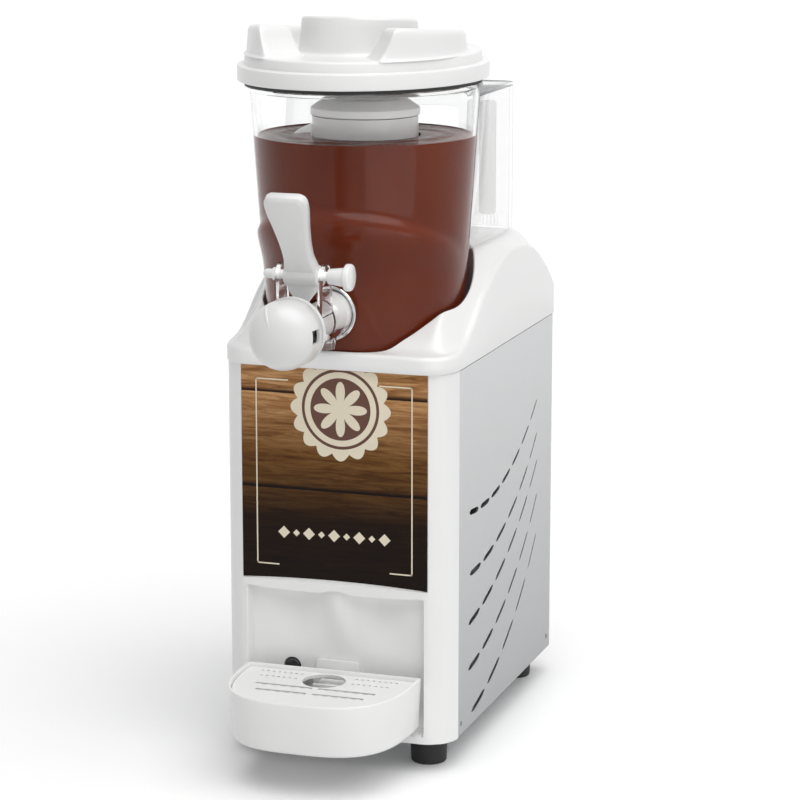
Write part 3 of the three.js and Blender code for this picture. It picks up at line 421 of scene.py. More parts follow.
def carved(piece: Piece, *cutters: Piece) -> Piece:
    """Cuts other solids out of a piece and removes them.

    Args:
        piece: The piece that is cut.
        cutters: The solids that are taken away from it.

    Returns:
        The same piece.
    """
    for cutter in cutters:
        activate(piece)
        bpy.ops.object.modifier_add(type="BOOLEAN")
        modifier = piece.modifiers[-1]
        modifier.operation = "DIFFERENCE"
        modifier.solver = "EXACT"
        modifier.object = cutter
        bpy.ops.object.modifier_apply(modifier=modifier.name)
        bpy.data.objects.remove(cutter)
    return piece


def joined(name: str, *pieces: Piece) -> Piece:
    """Joins pieces into one object.

    Args:
        name: The joined object's name.
        pieces: The pieces.

    Returns:
        The joined object.
    """
    activate(pieces[0])
    for piece in pieces[1:]:
        piece.select_set(True)
    if len(pieces) > 1:
        bpy.ops.object.join()
    whole = bpy.context.view_layer.objects.active
    whole.name = name
    return whole


def block(name: str, low: Sequence[float], high: Sequence[float], edge: float = 0.0) -> Piece:
    """Makes a block from two corners, with its edges rounded.

    Args:
        name: The new object's name.
        low: The lowest corner in millimetres.
        high: The highest corner in millimetres.
        edge: The width of the rounding, or 0 for a cutter.

    Returns:
        The new object.
    """
    corners = rectangle((low[0], low[1]), (high[0], high[1]))
    rings = [[at(x, y, z) for x, y in corners] for z in (low[2], high[2])]
    piece = grow(name, rings)
    return bevelled(piece, edge, 3) if edge > 0 else piece


def sheet_xz(name: str, outline: Sequence[Point2], front: float, back: float) -> Piece:
    """Makes a plate from an outline in X and Z that reaches from front to back."""
    return grow(name, [[at(x, y, z) for x, z in outline] for y in (front, back)])


def sheet_yz(name: str, outline: Sequence[Point2], left: float, right: float) -> Piece:
    """Makes a plate from an outline in Y and Z that reaches from left to right."""
    return grow(name, [[at(x, y, z) for y, z in outline] for x in (left, right)])


def oval(half_width: float, half_depth: float, middle: float, z: float) -> Ring:
    """Returns a level oval ring."""
    return [at(half_width * math.cos(a), middle + half_depth * math.sin(a), z) for a in around(128)]


# Finishes


class Nodes:
    """Adds nodes to one material or world and links them."""

    def __init__(self, owner: bpy.types.ID, output: str = "ShaderNodeOutputMaterial") -> None:
        """Clears a new material or world and gives it an output.

        Args:
            owner: The material or world.
            output: The type of its output node.
        """
        self.owner = owner
        owner.use_nodes = True
        self.tree = owner.node_tree
        self.tree.nodes.clear()
        self.output = self.add(output)

    def fill(self, socket: Socket, value: Value) -> None:
        """Links a socket to another one, or gives it a value.

        Args:
            socket: The input socket.
            value: What it gets.
        """
        if isinstance(value, bpy.types.NodeSocket):
            self.tree.links.new(value, socket)
        else:
            socket.default_value = value

    def add(self, kind: str, **values: object) -> bpy.types.Node:
        """Adds a node.

        Args:
            kind: The node's type.
            values: Its properties, or its input sockets with spaces as underscores.

        Returns:
            The new node.
        """
        node = self.tree.nodes.new(kind)
        for key, value in values.items():
            socket = node.inputs.get(key.replace("_", " "))
            if socket is None:
                setattr(node, key, value)
            else:
                self.fill(socket, value)
        return node

    def own_place(self) -> Socket:
        """Returns the object's own coordinates."""
        return self.add("ShaderNodeTexCoord").outputs["Object"]

    def height(self) -> Socket:
        """Returns the height on the object, in metres."""
        return self.add("ShaderNodeSeparateXYZ", Vector=self.own_place()).outputs["Z"]

    def noise(self, scale: float, detail: float = 3.0, stretch: Point3 = EVEN, **more: Value) -> Socket:
        """Adds a noise on the object's own coordinates.

        Args:
            scale: Its features per metre.
            detail: How fine it gets.
            stretch: How much denser it is along each axis.
            more: Its other values, and "place" where it reads other coordinates.

        Returns:
            The noise, from 0 to 1.
        """
        place = more.pop("place", None) or self.own_place()
        spot = self.add("ShaderNodeMapping", Vector=place, Scale=stretch).outputs["Vector"]
        node = self.add("ShaderNodeTexNoise", Vector=spot, Scale=scale, Detail=detail, **more)
        return node.outputs["Fac"]

    def between(self, value: Value, low: float, high: float) -> Socket:
        """Returns a value that was 0 to 1 as a value from low to high."""
        return self.add("ShaderNodeMapRange", Value=value, To_Min=low, To_Max=high).outputs["Result"]

    def share(self, value: Value, low: float, high: float) -> Socket:
        """Returns a value that was low to high as a value from 0 to 1."""
        node = self.add("ShaderNodeMapRange", Value=value, From_Min=low, From_Max=high)
        return node.outputs["Result"]

    def ramp(self, value: Socket, *stops: tuple[float, Colour]) -> Socket:
        """Reads a colour off a ramp.

        Args:
            value: The place on the ramp.
            stops: The ramp's places and their colours.

        Returns:
            The colour.
        """
        node = self.add("ShaderNodeValToRGB", Fac=value)
        elements = node.color_ramp.elements
        while len(elements) < len(stops):
            elements.new(0.5)
        for element, (position, colour) in zip(elements, stops):
            element.position = position
            element.color = (*colour, 1.0)
        return node.outputs["Color"]

    def facing(self) -> Socket:
        """Returns 0 where a face is seen straight on and 1 where it is seen edge on."""
        return self.add("ShaderNodeLayerWeight", Blend=0.5).outputs["Facing"]

    def maths(self, operation: str, *values: Value) -> Socket:
        """Works out a value.

        Args:
            operation: What is done.
            values: What it is done with.

        Returns:
            The result.
        """
        node = self.add("ShaderNodeMath", operation=operation)
        for socket, value in zip(node.inputs, values):
            self.fill(socket, value)
        return node.outputs[0]

    def seen(self) -> Socket:
        """Tells what the camera sees, also in metal and in glass, from light.

        Returns:
            The socket of 1 for what is seen and 0 for light.
        """
        path = self.add("ShaderNodeLightPath").outputs
        seen = self.maths("MAXIMUM", path["Is Camera Ray"], path["Is Glossy Ray"])
        return self.maths("MAXIMUM", seen, path["Is Transmission Ray"])

    def blend(self, how: str, amount: Value, first: Socket, second: Socket) -> Socket:
        """Blends two colours.

        Args:
            how: The kind of blend.
            amount: How much of the second colour is used.
            first: The first colour.
            second: The second colour.

        Returns:
            The blended colour.
        """
        node = self.add("ShaderNodeMix", data_type="RGBA", blend_type=how)
        for number, value in ((0, amount), (6, first), (7, second)):
            self.fill(node.inputs[number], value)
        return node.outputs[2]

    def mixed(self, share: Value, first: bpy.types.Node, second: bpy.types.Node) -> bpy.types.Node:
        """Mixes two shaders.

        Args:
            share: How much of the second shader shows.
            first: The first shader.
            second: The second shader.

        Returns:
            The mix.
        """
        node = self.add("ShaderNodeMixShader")
        for socket, value in zip(node.inputs, (share, first.outputs[0], second.outputs[0])):
            self.fill(socket, value)
        return node

    def raised(self, height: Socket, strength: float, distance: float) -> Socket:
        """Returns a normal that shows a height as relief."""
        node = self.add("ShaderNodeBump", Height=height, Strength=strength, Distance=distance)
        return node.outputs["Normal"]

    def show(self, shader: bpy.types.Node) -> bpy.types.ID:
        """Sends a shader to the output and returns the material or world."""
        self.fill(self.output.inputs["Surface"], shader.outputs[0])
        return self.owner


@dataclass(frozen=True)
class Finish:
    """A finish with a name of its own."""

    name: str

    def nodes(self) -> Nodes:
        """Starts the finish's material."""
        return Nodes(bpy.data.materials.new(self.name))


@dataclass(frozen=True)
class Moulded(Finish):
    """A moulded or cast surface with a fine grain and slight unevenness."""

    colour: Colour
    roughness: float = 0.4
    metallic: float = 0.0
    coat: float = 0.0
    grain: float = 900.0
    relief: float = 0.05
    uneven: float = 0.04
    stretch: Point3 = EVEN

    def build(self) -> bpy.types.Material:
        """Builds the material.

        Returns:
            The finished material.
        """
        nodes = self.nodes()
        fine = nodes.noise(self.grain, 2.0, self.stretch)
        dark = tuple(c * (1 - self.uneven) for c in self.colour)
        light = tuple(min(c * (1 + self.uneven), 1.0) for c in self.colour)
        shader = nodes.add(
            "ShaderNodeBsdfPrincipled",
            Base_Color=nodes.ramp(nodes.noise(14.0, 2.0), (0.3, dark), (0.7, light)),
            Roughness=nodes.between(fine, self.roughness * 0.9, self.roughness * 1.1),
            Metallic=self.metallic,
            Coat_Weight=self.coat,
            Coat_Roughness=0.08,
            Normal=nodes.raised(fine, self.relief, 0.0002),
        )
        return nodes.show(shader)


@dataclass(frozen=True)
class BrushedSteel(Finish):
    """Steel sheet with fine upright brushing, with painted light that makes it paler towards its top."""

    # low and high are painted light: the sheet's colour at its foot and at the height top, in metres.
    low: Colour = (0.37, 0.375, 0.38)
    high: Colour = (0.61, 0.615, 0.62)
    top: float = 0.34

    def build(self) -> bpy.types.Material:
        """Builds the material.

        Returns:
            The finished material.
        """
        nodes = self.nodes()
        lines = nodes.noise(260.0, 6.0, (12.0, 12.0, 0.25))
        # Painted light: the colour pales from low at the foot to high at the height top.
        share = nodes.share(nodes.height(), 0.0, self.top)
        painted_height_light = nodes.ramp(share, (0.0, self.low), (1.0, self.high))
        streak = nodes.ramp(lines, (0.3, (0.93, 0.93, 0.93)), (0.7, WHITE))
        shader = nodes.add(
            "ShaderNodeBsdfPrincipled",
            Base_Color=nodes.blend("MULTIPLY", 1.0, painted_height_light, streak),
            Roughness=nodes.between(lines, 0.34, 0.46),
            Metallic=1.0,
            Normal=nodes.raised(lines, 0.06, 0.0001),
        )
        return nodes.show(shader)


@dataclass(frozen=True)
class ClearPlastic(Finish):
    """Clear moulded plastic that bends light, with painted shade that darkens it where it is seen edge on.
    """

    faced: Colour = (0.985, 0.99, 0.99)
    # edge is painted shade: the colour that it darkens to where it is seen edge on.
    edge: Colour = (0.62, 0.65, 0.66)
    bending: float = 1.33
    shine: float = 0.0

    def build(self) -> bpy.types.Material:
        """Builds the material.

        Returns:
            The finished material.
        """
        nodes = self.nodes()
        # Painted shade: the colour darkens from faced to edge as the surface turns away.
        tint_with_painted_dark_edge = nodes.ramp(nodes.facing(), (0.0, self.faced), (0.8, self.faced), (0.98, self.edge))
        solid = nodes.add(
            "ShaderNodeBsdfPrincipled",
            Base_Color=tint_with_painted_dark_edge,
            Roughness=nodes.between(nodes.noise(30.0, 2.0), 0.0, 0.02),
            IOR=self.bending,
            Specular_Tint=(self.shine, self.shine, self.shine, 1.0),
            Transmission_Weight=1.0,
        )
        window = nodes.add("ShaderNodeBsdfTransparent", Color=(0.97, 0.975, 0.975, 1.0))
        shadow = nodes.add("ShaderNodeLightPath").outputs["Is Shadow Ray"]
        return nodes.show(nodes.mixed(shadow, solid, window))


@dataclass(frozen=True)
class ThinClear(Finish):
    """Thin clear walls that show what is behind them, with a painted dark line where they turn away."""

    faced: Colour = (0.985, 0.985, 0.985)
    # edge is painted shade: the dark line's colour where the walls turn away.
    edge: Colour = (0.2, 0.21, 0.22)
    milk: float = 0.0
    gloss: tuple[tuple[float, float], ...] = ((0.0, 0.03), (0.6, 0.07), (0.9, 0.3), (1.0, 0.6))

    def build(self) -> bpy.types.Material:
        """Builds the material.

        Returns:
            The finished material.
        """
        nodes = self.nodes()
        facing = nodes.facing()
        # Painted shade: the colour darkens from faced to edge as the wall turns away.
        tint_with_painted_dark_edge = nodes.ramp(facing, (0.0, self.faced), (0.84, self.faced), (0.98, self.edge))
        haze = nodes.between(nodes.noise(40.0, 2.0), 0.03, 0.07)
        window = nodes.add("ShaderNodeBsdfTransparent", Color=tint_with_painted_dark_edge)
        mirror = nodes.add("ShaderNodeBsdfGlossy", Color=tint_with_painted_dark_edge, Roughness=haze)
        shine = nodes.ramp(facing, *((place, (grey, grey, grey)) for place, grey in self.gloss))
        cloud = nodes.add("ShaderNodeBsdfPrincipled", Base_Color=(0.8, 0.8, 0.8, 1.0), Roughness=haze)
        return nodes.show(nodes.mixed(self.milk, nodes.mixed(shine, window, mirror), cloud))


@dataclass(frozen=True)
class PrintedWood(Finish):
    """A glossy print of dark level planks, warm at the top and nearly black below."""

    plank: float = 0.0807
    shift: float = 0.1004
    bottom: float = 0.155
    top: float = 0.337

    def build(self) -> bpy.types.Material:
        """Builds the material.

        Returns:
            The finished material.
        """
        nodes = self.nodes()
        upward = nodes.height()
        rows = nodes.maths("MULTIPLY_ADD", upward, 1 / self.plank, self.shift)
        row = nodes.maths("FLOOR", rows)
        tone = nodes.add("ShaderNodeTexWhiteNoise", noise_dimensions="1D", W=row).outputs["Value"]
        aside = nodes.add("ShaderNodeCombineXYZ", X=tone).outputs[0]
        moved = nodes.add("ShaderNodeVectorMath", operation="ADD")
        for socket, value in zip(moved.inputs, (nodes.own_place(), aside)):
            nodes.fill(socket, value)
        place = moved.outputs[0]
        along_grain = (0.35, 1.0, 4.0)
        grain = nodes.noise(60.0, 9.0, along_grain, place=place, Roughness=0.68, Distortion=0.7)
        fine = nodes.noise(330.0, 4.0, along_grain, place=place, Roughness=0.6)
        wood = nodes.ramp(
            grain,
            (0.28, (0.16, 0.058, 0.018)),
            (0.44, (0.50, 0.24, 0.090)),
            (0.58, (0.80, 0.45, 0.20)),
            (0.76, (0.98, 0.72, 0.42)),
        )
        wood = nodes.blend("MULTIPLY", 0.3, wood, fine)
        shade = nodes.ramp(tone, (0.0, (0.8, 0.78, 0.76)), (1.0, WHITE))
        within = nodes.maths("FRACT", rows)
        seam = nodes.ramp(within, (0.0, BLACK), (0.022, (0.12, 0.1, 0.1)), (0.05, WHITE))
        dusk = nodes.ramp(
            nodes.share(upward, self.bottom, self.top),
            (0.0, (0.01, 0.006, 0.002)),
            (0.3, (0.02, 0.012, 0.007)),
            (0.6, (0.27, 0.22, 0.13)),
            (0.95, WHITE),
        )
        for layer in (shade, seam, dusk):
            wood = nodes.blend("MULTIPLY", 1.0, wood, layer)
        shader = nodes.add(
            "ShaderNodeBsdfPrincipled",
            Base_Color=wood,
            Roughness=nodes.between(grain, 0.36, 0.46),
            Specular_IOR_Level=0.12,
        )
        return nodes.show(shader)


@dataclass(frozen=True)
class MeltedChocolate(Finish):
    """Thick drinking chocolate with slow swirls in its colour and surface."""

    dark: Colour
    light: Colour
    gloss: float = 0.3
    bending: float = 1.4
    roughness: Point2 = (0.05, 0.08)
    waves: float = 0.0

    def build(self) -> bpy.types.Material:
        """Builds the material.

        Returns:
            The finished material.
        """
        nodes = self.nodes()
        swirl = nodes.noise(11.0, 2.0, (1.0, 1.0, 0.4), Distortion=1.6)
        streaks = nodes.noise(45.0, 3.0, (1.0, 1.0, 2.5), Distortion=2.4)
        shader = nodes.add(
            "ShaderNodeBsdfPrincipled",
            Base_Color=nodes.ramp(swirl, (0.35, self.dark), (0.65, self.light)),
            Roughness=nodes.between(streaks, *self.roughness),
            Specular_IOR_Level=self.gloss,
            IOR=self.bending,
            Normal=nodes.raised(streaks, self.waves, 0.003),
        )
        return nodes.show(shader)


class Palette:
    """All finishes of the machine, each built once."""

    def __init__(self) -> None:
        """Builds every finish."""
        plain = [
            Moulded(
                "white_moulding", (0.86, 0.86, 0.855), 0.3,
                coat=0.25, grain=700.0, relief=0.02, uneven=0.006,
            ),
            Moulded("satin_white", (0.83, 0.83, 0.825), 0.42, relief=0.04, uneven=0.008),
            # A lit copy of the white moulding: painted light that brightens the stirrer's hat in the lid's
            # shadow.
            Moulded("white_with_painted_light", (0.95, 0.95, 0.945), 0.4, relief=0.02, uneven=0.006),
            Moulded("tap_white", (0.75, 0.75, 0.745), 0.34, coat=0.2, relief=0.03, uneven=0.01),
        ]
        self.white, self.soft_white, self.bright, self.tap_white = (finish.build() for finish in plain)
        self.clear = ClearPlastic("clear_polycarbonate").build()
        # Its edge colour is painted shade where the barrel is seen edge on.
        thick = ClearPlastic("clear_acrylic", edge=(0.5, 0.52, 0.53), bending=1.42, shine=1.0)
        self.thick_clear = thick.build()
        self.thin_clear = ThinClear("clear_thin_wall").build()
        # Its edge colour is painted shade where the bars are seen edge on.
        self.cloudy = ThinClear("clear_hand_bar", edge=(0.45, 0.46, 0.47), milk=0.35).build()
        self.sheet = BrushedSteel("brushed_steel_sheet").build()
        metals = [
            Moulded("ground_steel", (0.62, 0.62, 0.63), 0.28, 1.0, stretch=(1.0, 1.0, 0.2)),
            Moulded("polished_ring", (0.74, 0.74, 0.75), 0.1, 1.0, relief=0.01, uneven=0.02),
            Moulded("zinc_sheet", (0.42, 0.44, 0.45), 0.45, 0.9, grain=120.0, relief=0.1, uneven=0.12),
            Moulded("cast_housing", (0.36, 0.37, 0.38), 0.6, 0.8, grain=400.0, relief=0.3, uneven=0.1),
        ]
        self.steel, self.chrome, self.zinc, self.cast = (finish.build() for finish in metals)
        darks = [
            Moulded("black_moulding", (0.022, 0.022, 0.023), 0.38, relief=0.06, uneven=0.1),
            Moulded("black_rubber", (0.018, 0.018, 0.018), 0.7, grain=500.0, relief=0.2, uneven=0.12),
            Moulded("grey_silicone", (0.3, 0.3, 0.29), 0.6, grain=500.0, relief=0.1),
            Moulded("circuit_green", (0.03, 0.16, 0.07), 0.4, grain=300.0, relief=0.1, uneven=0.2),
        ]
        self.black, self.rubber, self.silicone, self.green = (finish.build() for finish in darks)
        self.planks = PrintedWood("printed_planks").build()
        self.cream = Moulded("cream_print", (0.80, 0.72, 0.56), 0.45, relief=0.02, uneven=0.03).build()
        self.cocoa = Moulded("cocoa_print", (0.10, 0.035, 0.018), 0.45, relief=0.02, uneven=0.1).build()
        drink = MeltedChocolate("drinking_chocolate", (0.105, 0.016, 0.005), (0.125, 0.021, 0.007))
        self.chocolate = drink.build()
        self.surface = MeltedChocolate(
            "chocolate_skin",
            (0.12, 0.026, 0.011),
            (0.15, 0.036, 0.017),
            gloss=0.12,
            bending=1.2,
            roughness=(0.14, 0.26),
            waves=0.25,
        ).build()


@dataclass
class Assembly:
    """A sub-assembly of the machine, which finishes its pieces and hands them to the frame."""

    palette: Palette

    def done(
        self,
        piece: Piece,
        finish: bpy.types.Material,
        body: str,
        slot: str,
        *nodes: str,
        angle: float = 32.0,
        far_end: tuple[str, Vector, Vector] | None = None,
    ) -> Piece:
        """Dresses a piece, rides it on its body and hides the CAD nodes that it replaces.

        Args:
            piece: The finished shape.
            finish: Its material.
            body: The body that it rides on.
            slot: The record's material slot; not used.
            nodes: The CAD nodes that it replaces.
            angle: Edges below this angle, in degrees, are shaded smooth.
            far_end: Where given, the piece rides on no body and its place is baked in; the body and points
                in it are not used.

        Returns:
            The same piece.
        """
        activate(piece)
        bpy.ops.object.shade_smooth_by_angle(angle=math.radians(angle))
        piece.data.materials.clear()
        piece.data.materials.append(finish)
        if far_end is None:
            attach(piece, body)
        else:
            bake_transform(piece)
        if nodes:
            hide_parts(*nodes)
        LOG.info("made %s with %d faces", piece.name, len(piece.data.polygons))
        return piece


# The body


@dataclass
class Body(Assembly):
    """The white body, its steel sides, its printed panel and its feet."""

    half_width: float = 100.0
    depth: float = 320.0
    top: float = 312.0
    wall: float = 3.0
    corner: float = 25.5
    niche_half_width: float = 77.0
    niche_top: float = 121.5
    niche_depth: float = 10.0
    lobe_depth: float = 6.0
    lobe_place: float = 38.0
    lobe_width: float = 30.0
    lobe_foot: float = 66.0
    lobe_rise: float = 48.0
    ridge_width: float = 17.0
    seat_half_width: float = 81.0
    seat_bottom: float = 130.6
    seat_depth: float = 0.9
    decal_half_width: float = 80.6
    decal_bottom: float = 131.2
    decal_arch: float = 2.6
    ink_front: float = 0.06
    ink_back: float = 0.2
    flower: Point2 = (6.0, 279.0)
    diamonds_height: float = 172.0
    steel: float = 1.5
    steel_ends: Point2 = (25.8, 307.0)
    knob_place: Point3 = (-41.0, 0.0, 54.0)
    gland_place: Point3 = (-52.0, 0.0, 50.0)

    def build(self) -> None:
        """Builds every piece of the body."""
        self.front_panel()
        self.decal()
        self.side_panels()
        self.rear_cover()
        self.feet()
        self.bracket()
        self.knob()

    def hollow(self, x: float, z: float) -> float:
        """Works out the cup niche.

        Args:
            x: Millimetres to the right of the middle.
            z: Millimetres above the underside of the body.

        Returns:
            How far the niche reaches behind the front plane there.
        """
        fade = smoothstep((z - self.lobe_foot) / self.lobe_rise)
        right = bump((x - self.lobe_place) / self.lobe_width)
        left = bump((x + self.lobe_place) / self.lobe_width)
        lobes = self.lobe_depth * (right + left)
        ridge = self.lobe_depth * bump(x / self.ridge_width)
        depth = self.niche_depth + fade * (lobes - ridge)
        roof = self.niche_top + 3.0 * bump(x / 16.0) + 2.4 * (abs(x) / self.niche_half_width) ** 4
        over = smoothstep((roof + 0.6 - z) / 3.2)
        side = smoothstep((self.niche_half_width + 0.8 - abs(x)) / 2.6)
        sill = smoothstep((z - 7.6) / 2.6)
        return depth * over * side * sill

    def front_face(self, x: float, z: float) -> float:
        """Works out the front panel's face.

        Args:
            x: Millimetres to the right of the middle.
            z: Millimetres above the underside of the body.

        Returns:
            How far the face is behind the front plane there.
        """
        beyond = abs(x) - (self.half_width - self.corner)
        curve = self.corner - math.sqrt(self.corner**2 - beyond**2) if beyond > 0 else 0.0
        in_seat = abs(x) < self.seat_half_width and z > self.seat_bottom
        return curve + (self.seat_depth if in_seat else 0.0) + self.hollow(x, z)

    def front_panel(self) -> None:
        """Builds the front panel as level slices with the niche drawn into them."""
        near = [74.9, 75.5, 76.1, 76.7, 77.3, 78.0, 80.0, 80.85, 81.15, 83.0]
        across = [-x for x in reversed(near)] + spread(-74.2, 74.2, 75) + near
        reach = self.half_width - self.corner
        turn = spread(math.pi, math.radians(230.0), 12)
        side = arc((-reach, self.corner), self.corner, turn)
        heights = spread(0.0, 9.0, 4) + spread(9.3, 11.0, 4) + spread(14.0, 112.0, 26)
        heights += spread(114.0, 128.0, 25) + [130.45, 130.75] + spread(136.0, self.top, 6)
        rings = []
        for z in heights:
            outer = side + [(x, self.front_face(x, z)) for x in across]
            outer += [(-x, y) for x, y in reversed(side)]
            inner = []
            for x, y in reversed(outer):
                if abs(x) >= near[-1]:
                    away = Vector((abs(x) - reach, y - self.corner)).normalized() * self.wall
                    inner.append((math.copysign(abs(x) - away.x, x), y - away.y))
                else:
                    inner.append((x, y + self.wall))
            rings.append([at(x, y, z) for x, y in outer + inner])
        panel = grow("front_panel_shell", rings)
        carved(panel, turned("knob_hole", Axis.Y, self.knob_place, [(7.6, 4), (7.6, 24)], 48))
        self.done(panel, self.palette.white, "chassis", "white_abs", "front_panel", angle=24)

    def decal(self) -> None:
        """Builds the printed panel with a line frame and a plain rosette."""
        half, bottom, top = self.decal_half_width, self.decal_bottom, self.top - 0.3
        arch = [(x, bottom + self.decal_arch * (1 - (x / half) ** 2)) for x in spread(half, -half, 25)]
        plate = sheet_xz("decal_plate", [(-half, top), (half, top)] + arch, 0.15, 0.85)
        self.done(plate, self.palette.planks, "chassis", "printed_panel", "decal_panel")
        self.decal_frame()
        self.decal_rosette()

    def decal_frame(self) -> None:
        """Lays the thin cream frame on the print, broken by the rosette above."""
        half, low, high, line = 67.6, 144.0, 300.6, 0.55
        path = [(-40.0, high), (-half, high), (-half, low), (-49.0, low)]
        strips = []
        for side in (1, -1):
            points = [(side * x, z) for x, z in path]
            for number, ((x0, z0), (x1, z1)) in enumerate(zip(points, points[1:])):
                low_corner = (min(x0, x1) - line, min(z0, z1) - line)
                high_corner = (max(x0, x1) + line, max(z0, z1) + line)
                outline = rectangle(low_corner, high_corner)
                strip = sheet_xz(f"frame_{side}_{number}", outline, self.ink_front, self.ink_back)
                strips.append(strip)
        self.done(joined("decal_frame", *strips), self.palette.cream, "chassis", "printed_panel")

    def petals(self, name: str, radius: float, swell: float, count: int, front: float) -> Piece:
        """Lays a flat disc with a petalled edge on the print, trimmed at the panel's top.

        Args:
            name: The new object's name.
            radius: The disc's radius between its petals.
            swell: How far the petals stand out.
            count: How many petals there are, or 0 for a plain disc.
            front: Where its face is, behind the front plane.

        Returns:
            The new object.
        """
        outline = []
        for angle in around(192):
            reach = radius + swell * abs(math.cos(count * angle / 2))
            x, z = self.flower[0] + reach * math.cos(angle), self.flower[1] + reach * math.sin(angle)
            outline.append((x, min(z, self.top - 0.6)))
        return sheet_xz(name, outline, front, self.ink_back)

    def decal_rosette(self) -> None:
        """Lays a rosette of cream and cocoa layers and a row of small diamonds on the print."""
        edge = self.petals("rosette_edge", 38.0, 5.5, 16, 0.09)
        ring = self.petals("rosette_ring", 31.0, 0.0, 0, 0.05)
        star = self.petals("rosette_star", 8.0, 15.0, 8, 0.01)
        line = self.petals("rosette_line", 33.5, 0.0, 0, 0.07)
        heart = self.petals("rosette_heart", 26.0, 0.0, 0, 0.03)
        flower = joined("decal_rosette", edge, ring, star)
        self.done(flower, self.palette.cream, "chassis", "printed_panel")
        lines = joined("decal_rosette_lines", line, heart)
        self.done(lines, self.palette.cocoa, "chassis", "printed_panel")
        diamonds = []
        z = self.diamonds_height
        for number, x in enumerate(spread(-44.0, 44.0, 9)):
            size = 5.2 if number % 2 == 0 else 3.0
            outline = [(x - size, z), (x, z - size), (x + size, z), (x, z + size)]
            diamonds.append(sheet_xz(f"diamond_{number}", outline, self.ink_front, self.ink_back))
        self.done(joined("decal_diamonds", *diamonds), self.palette.cream, "chassis", "printed_panel")

    def slot_cutters(self, left: float, right: float) -> Piece:
        """Makes the solids of the dashed cooling slots of one side.

        Args:
            left: Where the solids start.
            right: Where they end.

        Returns:
            The solids as one object.
        """
        arcs = (
            (92.0, 450.0, 266.0, -97.9, -50.0, 7),
            (59.0, 427.0, 294.0, -90.3, -45.5, 6),
            (12.0, 451.0, 363.0, -83.3, -45.5, 6),
            (19.0, 378.0, 329.0, -83.9, -41.2, 6),
            (11.0, 338.0, 331.0, -80.8, -39.8, 5),
        )
        dashes = []
        for y, z, radius, first, last, count in arcs:
            step = (last - first) / count
            for i in range(count):
                width = 2.4 - 1.2 * i / (count - 1)
                start, stop = first + i * step, first + (i + 0.82) * step
                outline = []
                for side in (1, -1):
                    for t in spread(0.0, 1.0, 9)[::side]:
                        angle = math.radians(start + (stop - start) * t)
                        thick = radius + side * width * math.sqrt(max(1 - (2 * t - 1) ** 6, 0.02))
                        outline.append((y + thick * math.cos(angle), z + thick * math.sin(angle)))
                dashes.append(sheet_yz(f"dash_{y}_{i}", outline, left, right))
        return joined("dashes", *dashes)

    def side_panels(self) -> None:
        """Builds the two steel side panels and their screws."""
        low, high = (self.steel_ends[0], 0.4), (self.steel_ends[1], self.top - 0.4)
        head = [(0, 0.1), (1.0, 0.1), (1.1, 0.7), (1.9, 0.9), (2.15, 0.5), (2.2, -0.6), (0, -0.6)]
        for name, side in (("left", -1), ("right", 1)):
            outer = side * (self.half_width - 0.2)
            inner = side * (self.half_width - 0.2 - self.steel)
            outline = rounded(rectangle(low, high), 1.2)
            panel = sheet_yz(f"steel_side_{name}", outline, min(outer, inner), max(outer, inner))
            carved(panel, self.slot_cutters(side * 97.0, side * 101.0))
            bevelled(panel, 0.25, 1, 60)
            self.done(panel, self.palette.sheet, "chassis", "brushed_steel", f"side_panel_{name}")
            profile = [(r, side * (h - 0.9)) for r, h in head]
            for end, y, z in (("front", 34.0, 10.0), ("rear", 297.0, 12.0)):
                place = (side * self.half_width, y, z)
                screw = turned(f"side_screw_{name}_{end}", Axis.X, place, profile, 24)
                self.done(screw, self.palette.black, "chassis", "black_steel", f"panel_screw_{name}_{end}")

    def rear_cover(self) -> None:
        """Builds the rear cover with its slots, switch hole and gland hole, and the cable gland."""
        half, rear, radius, start = self.half_width, self.depth, 14.0, 307.3
        turn = spread(math.asin((start - rear + radius) / radius), math.pi / 2, 12)
        outer = mirrored(arc((half - radius, rear - radius), radius, turn))
        inner = []
        for x, y in reversed(outer):
            away = Vector((max(abs(x) - half + radius, 0.0), max(y - rear + radius, 0.0))).normalized()
            inner.append((math.copysign(abs(x) - away.x * self.wall, x), y - away.y * self.wall))
        rings = [[at(x, y, z) for x, y in outer + inner] for z in (0.4, self.top)]
        cover = grow("rear_cover_shell", rings)
        slots = []
        for row in range(6):
            z = 214.0 + row * 14.0
            outline = rounded(rectangle((-55, z - 1.9), (55, z + 1.9)), 1.8)
            slots.append(sheet_xz(f"rear_slot_{row}", outline, 314, 323))
        opening = block("switch_hole", (41.5, 314, 47), (62.5, 323, 77))
        gland_hole = turned("gland_hole", Axis.Y, self.gland_place, [(9.3, 314), (9.3, 323)], 48)
        carved(cover, joined("rear_slots", *slots), opening, gland_hole)
        bevelled(cover, 0.5, 2, 50)
        self.done(cover, self.palette.white, "chassis", "white_abs", "rear_cover")
        profile = [
            (5, 309), (9, 309), (9, 320.2), (14, 320.2), (14, 325),
            (13, 326.4), (11, 330.4), (9.8, 331), (6, 331), (5, 330),
        ]
        gland = turned("cord_gland", Axis.Y, self.gland_place, profile, 48, hollow=True)
        self.done(gland, self.palette.black, "chassis", "black_plastic", "cable_gland", angle=28)

    def feet(self) -> None:
        """Builds the four rubber feet."""
        profile = [
            (0, -24.2), (11.4, -24.2), (12.0, -25), (14.0, -25), (14.8, -24.2), (15.0, -22),
            (15.4, -12), (15.9, -2.4), (15.9, -1.0), (15.2, -0.3), (0, -0.3),
        ]
        for end, y in (("front", 36), ("rear", 290)):
            for side, x in (("left", -71), ("right", 71)):
                foot = turned(f"rubber_foot_{end}_{side}", Axis.Z, (x, y, 0), profile, 48)
                self.done(foot, self.palette.rubber, "chassis", "foot_rubber", f"foot_{end}_{side}")

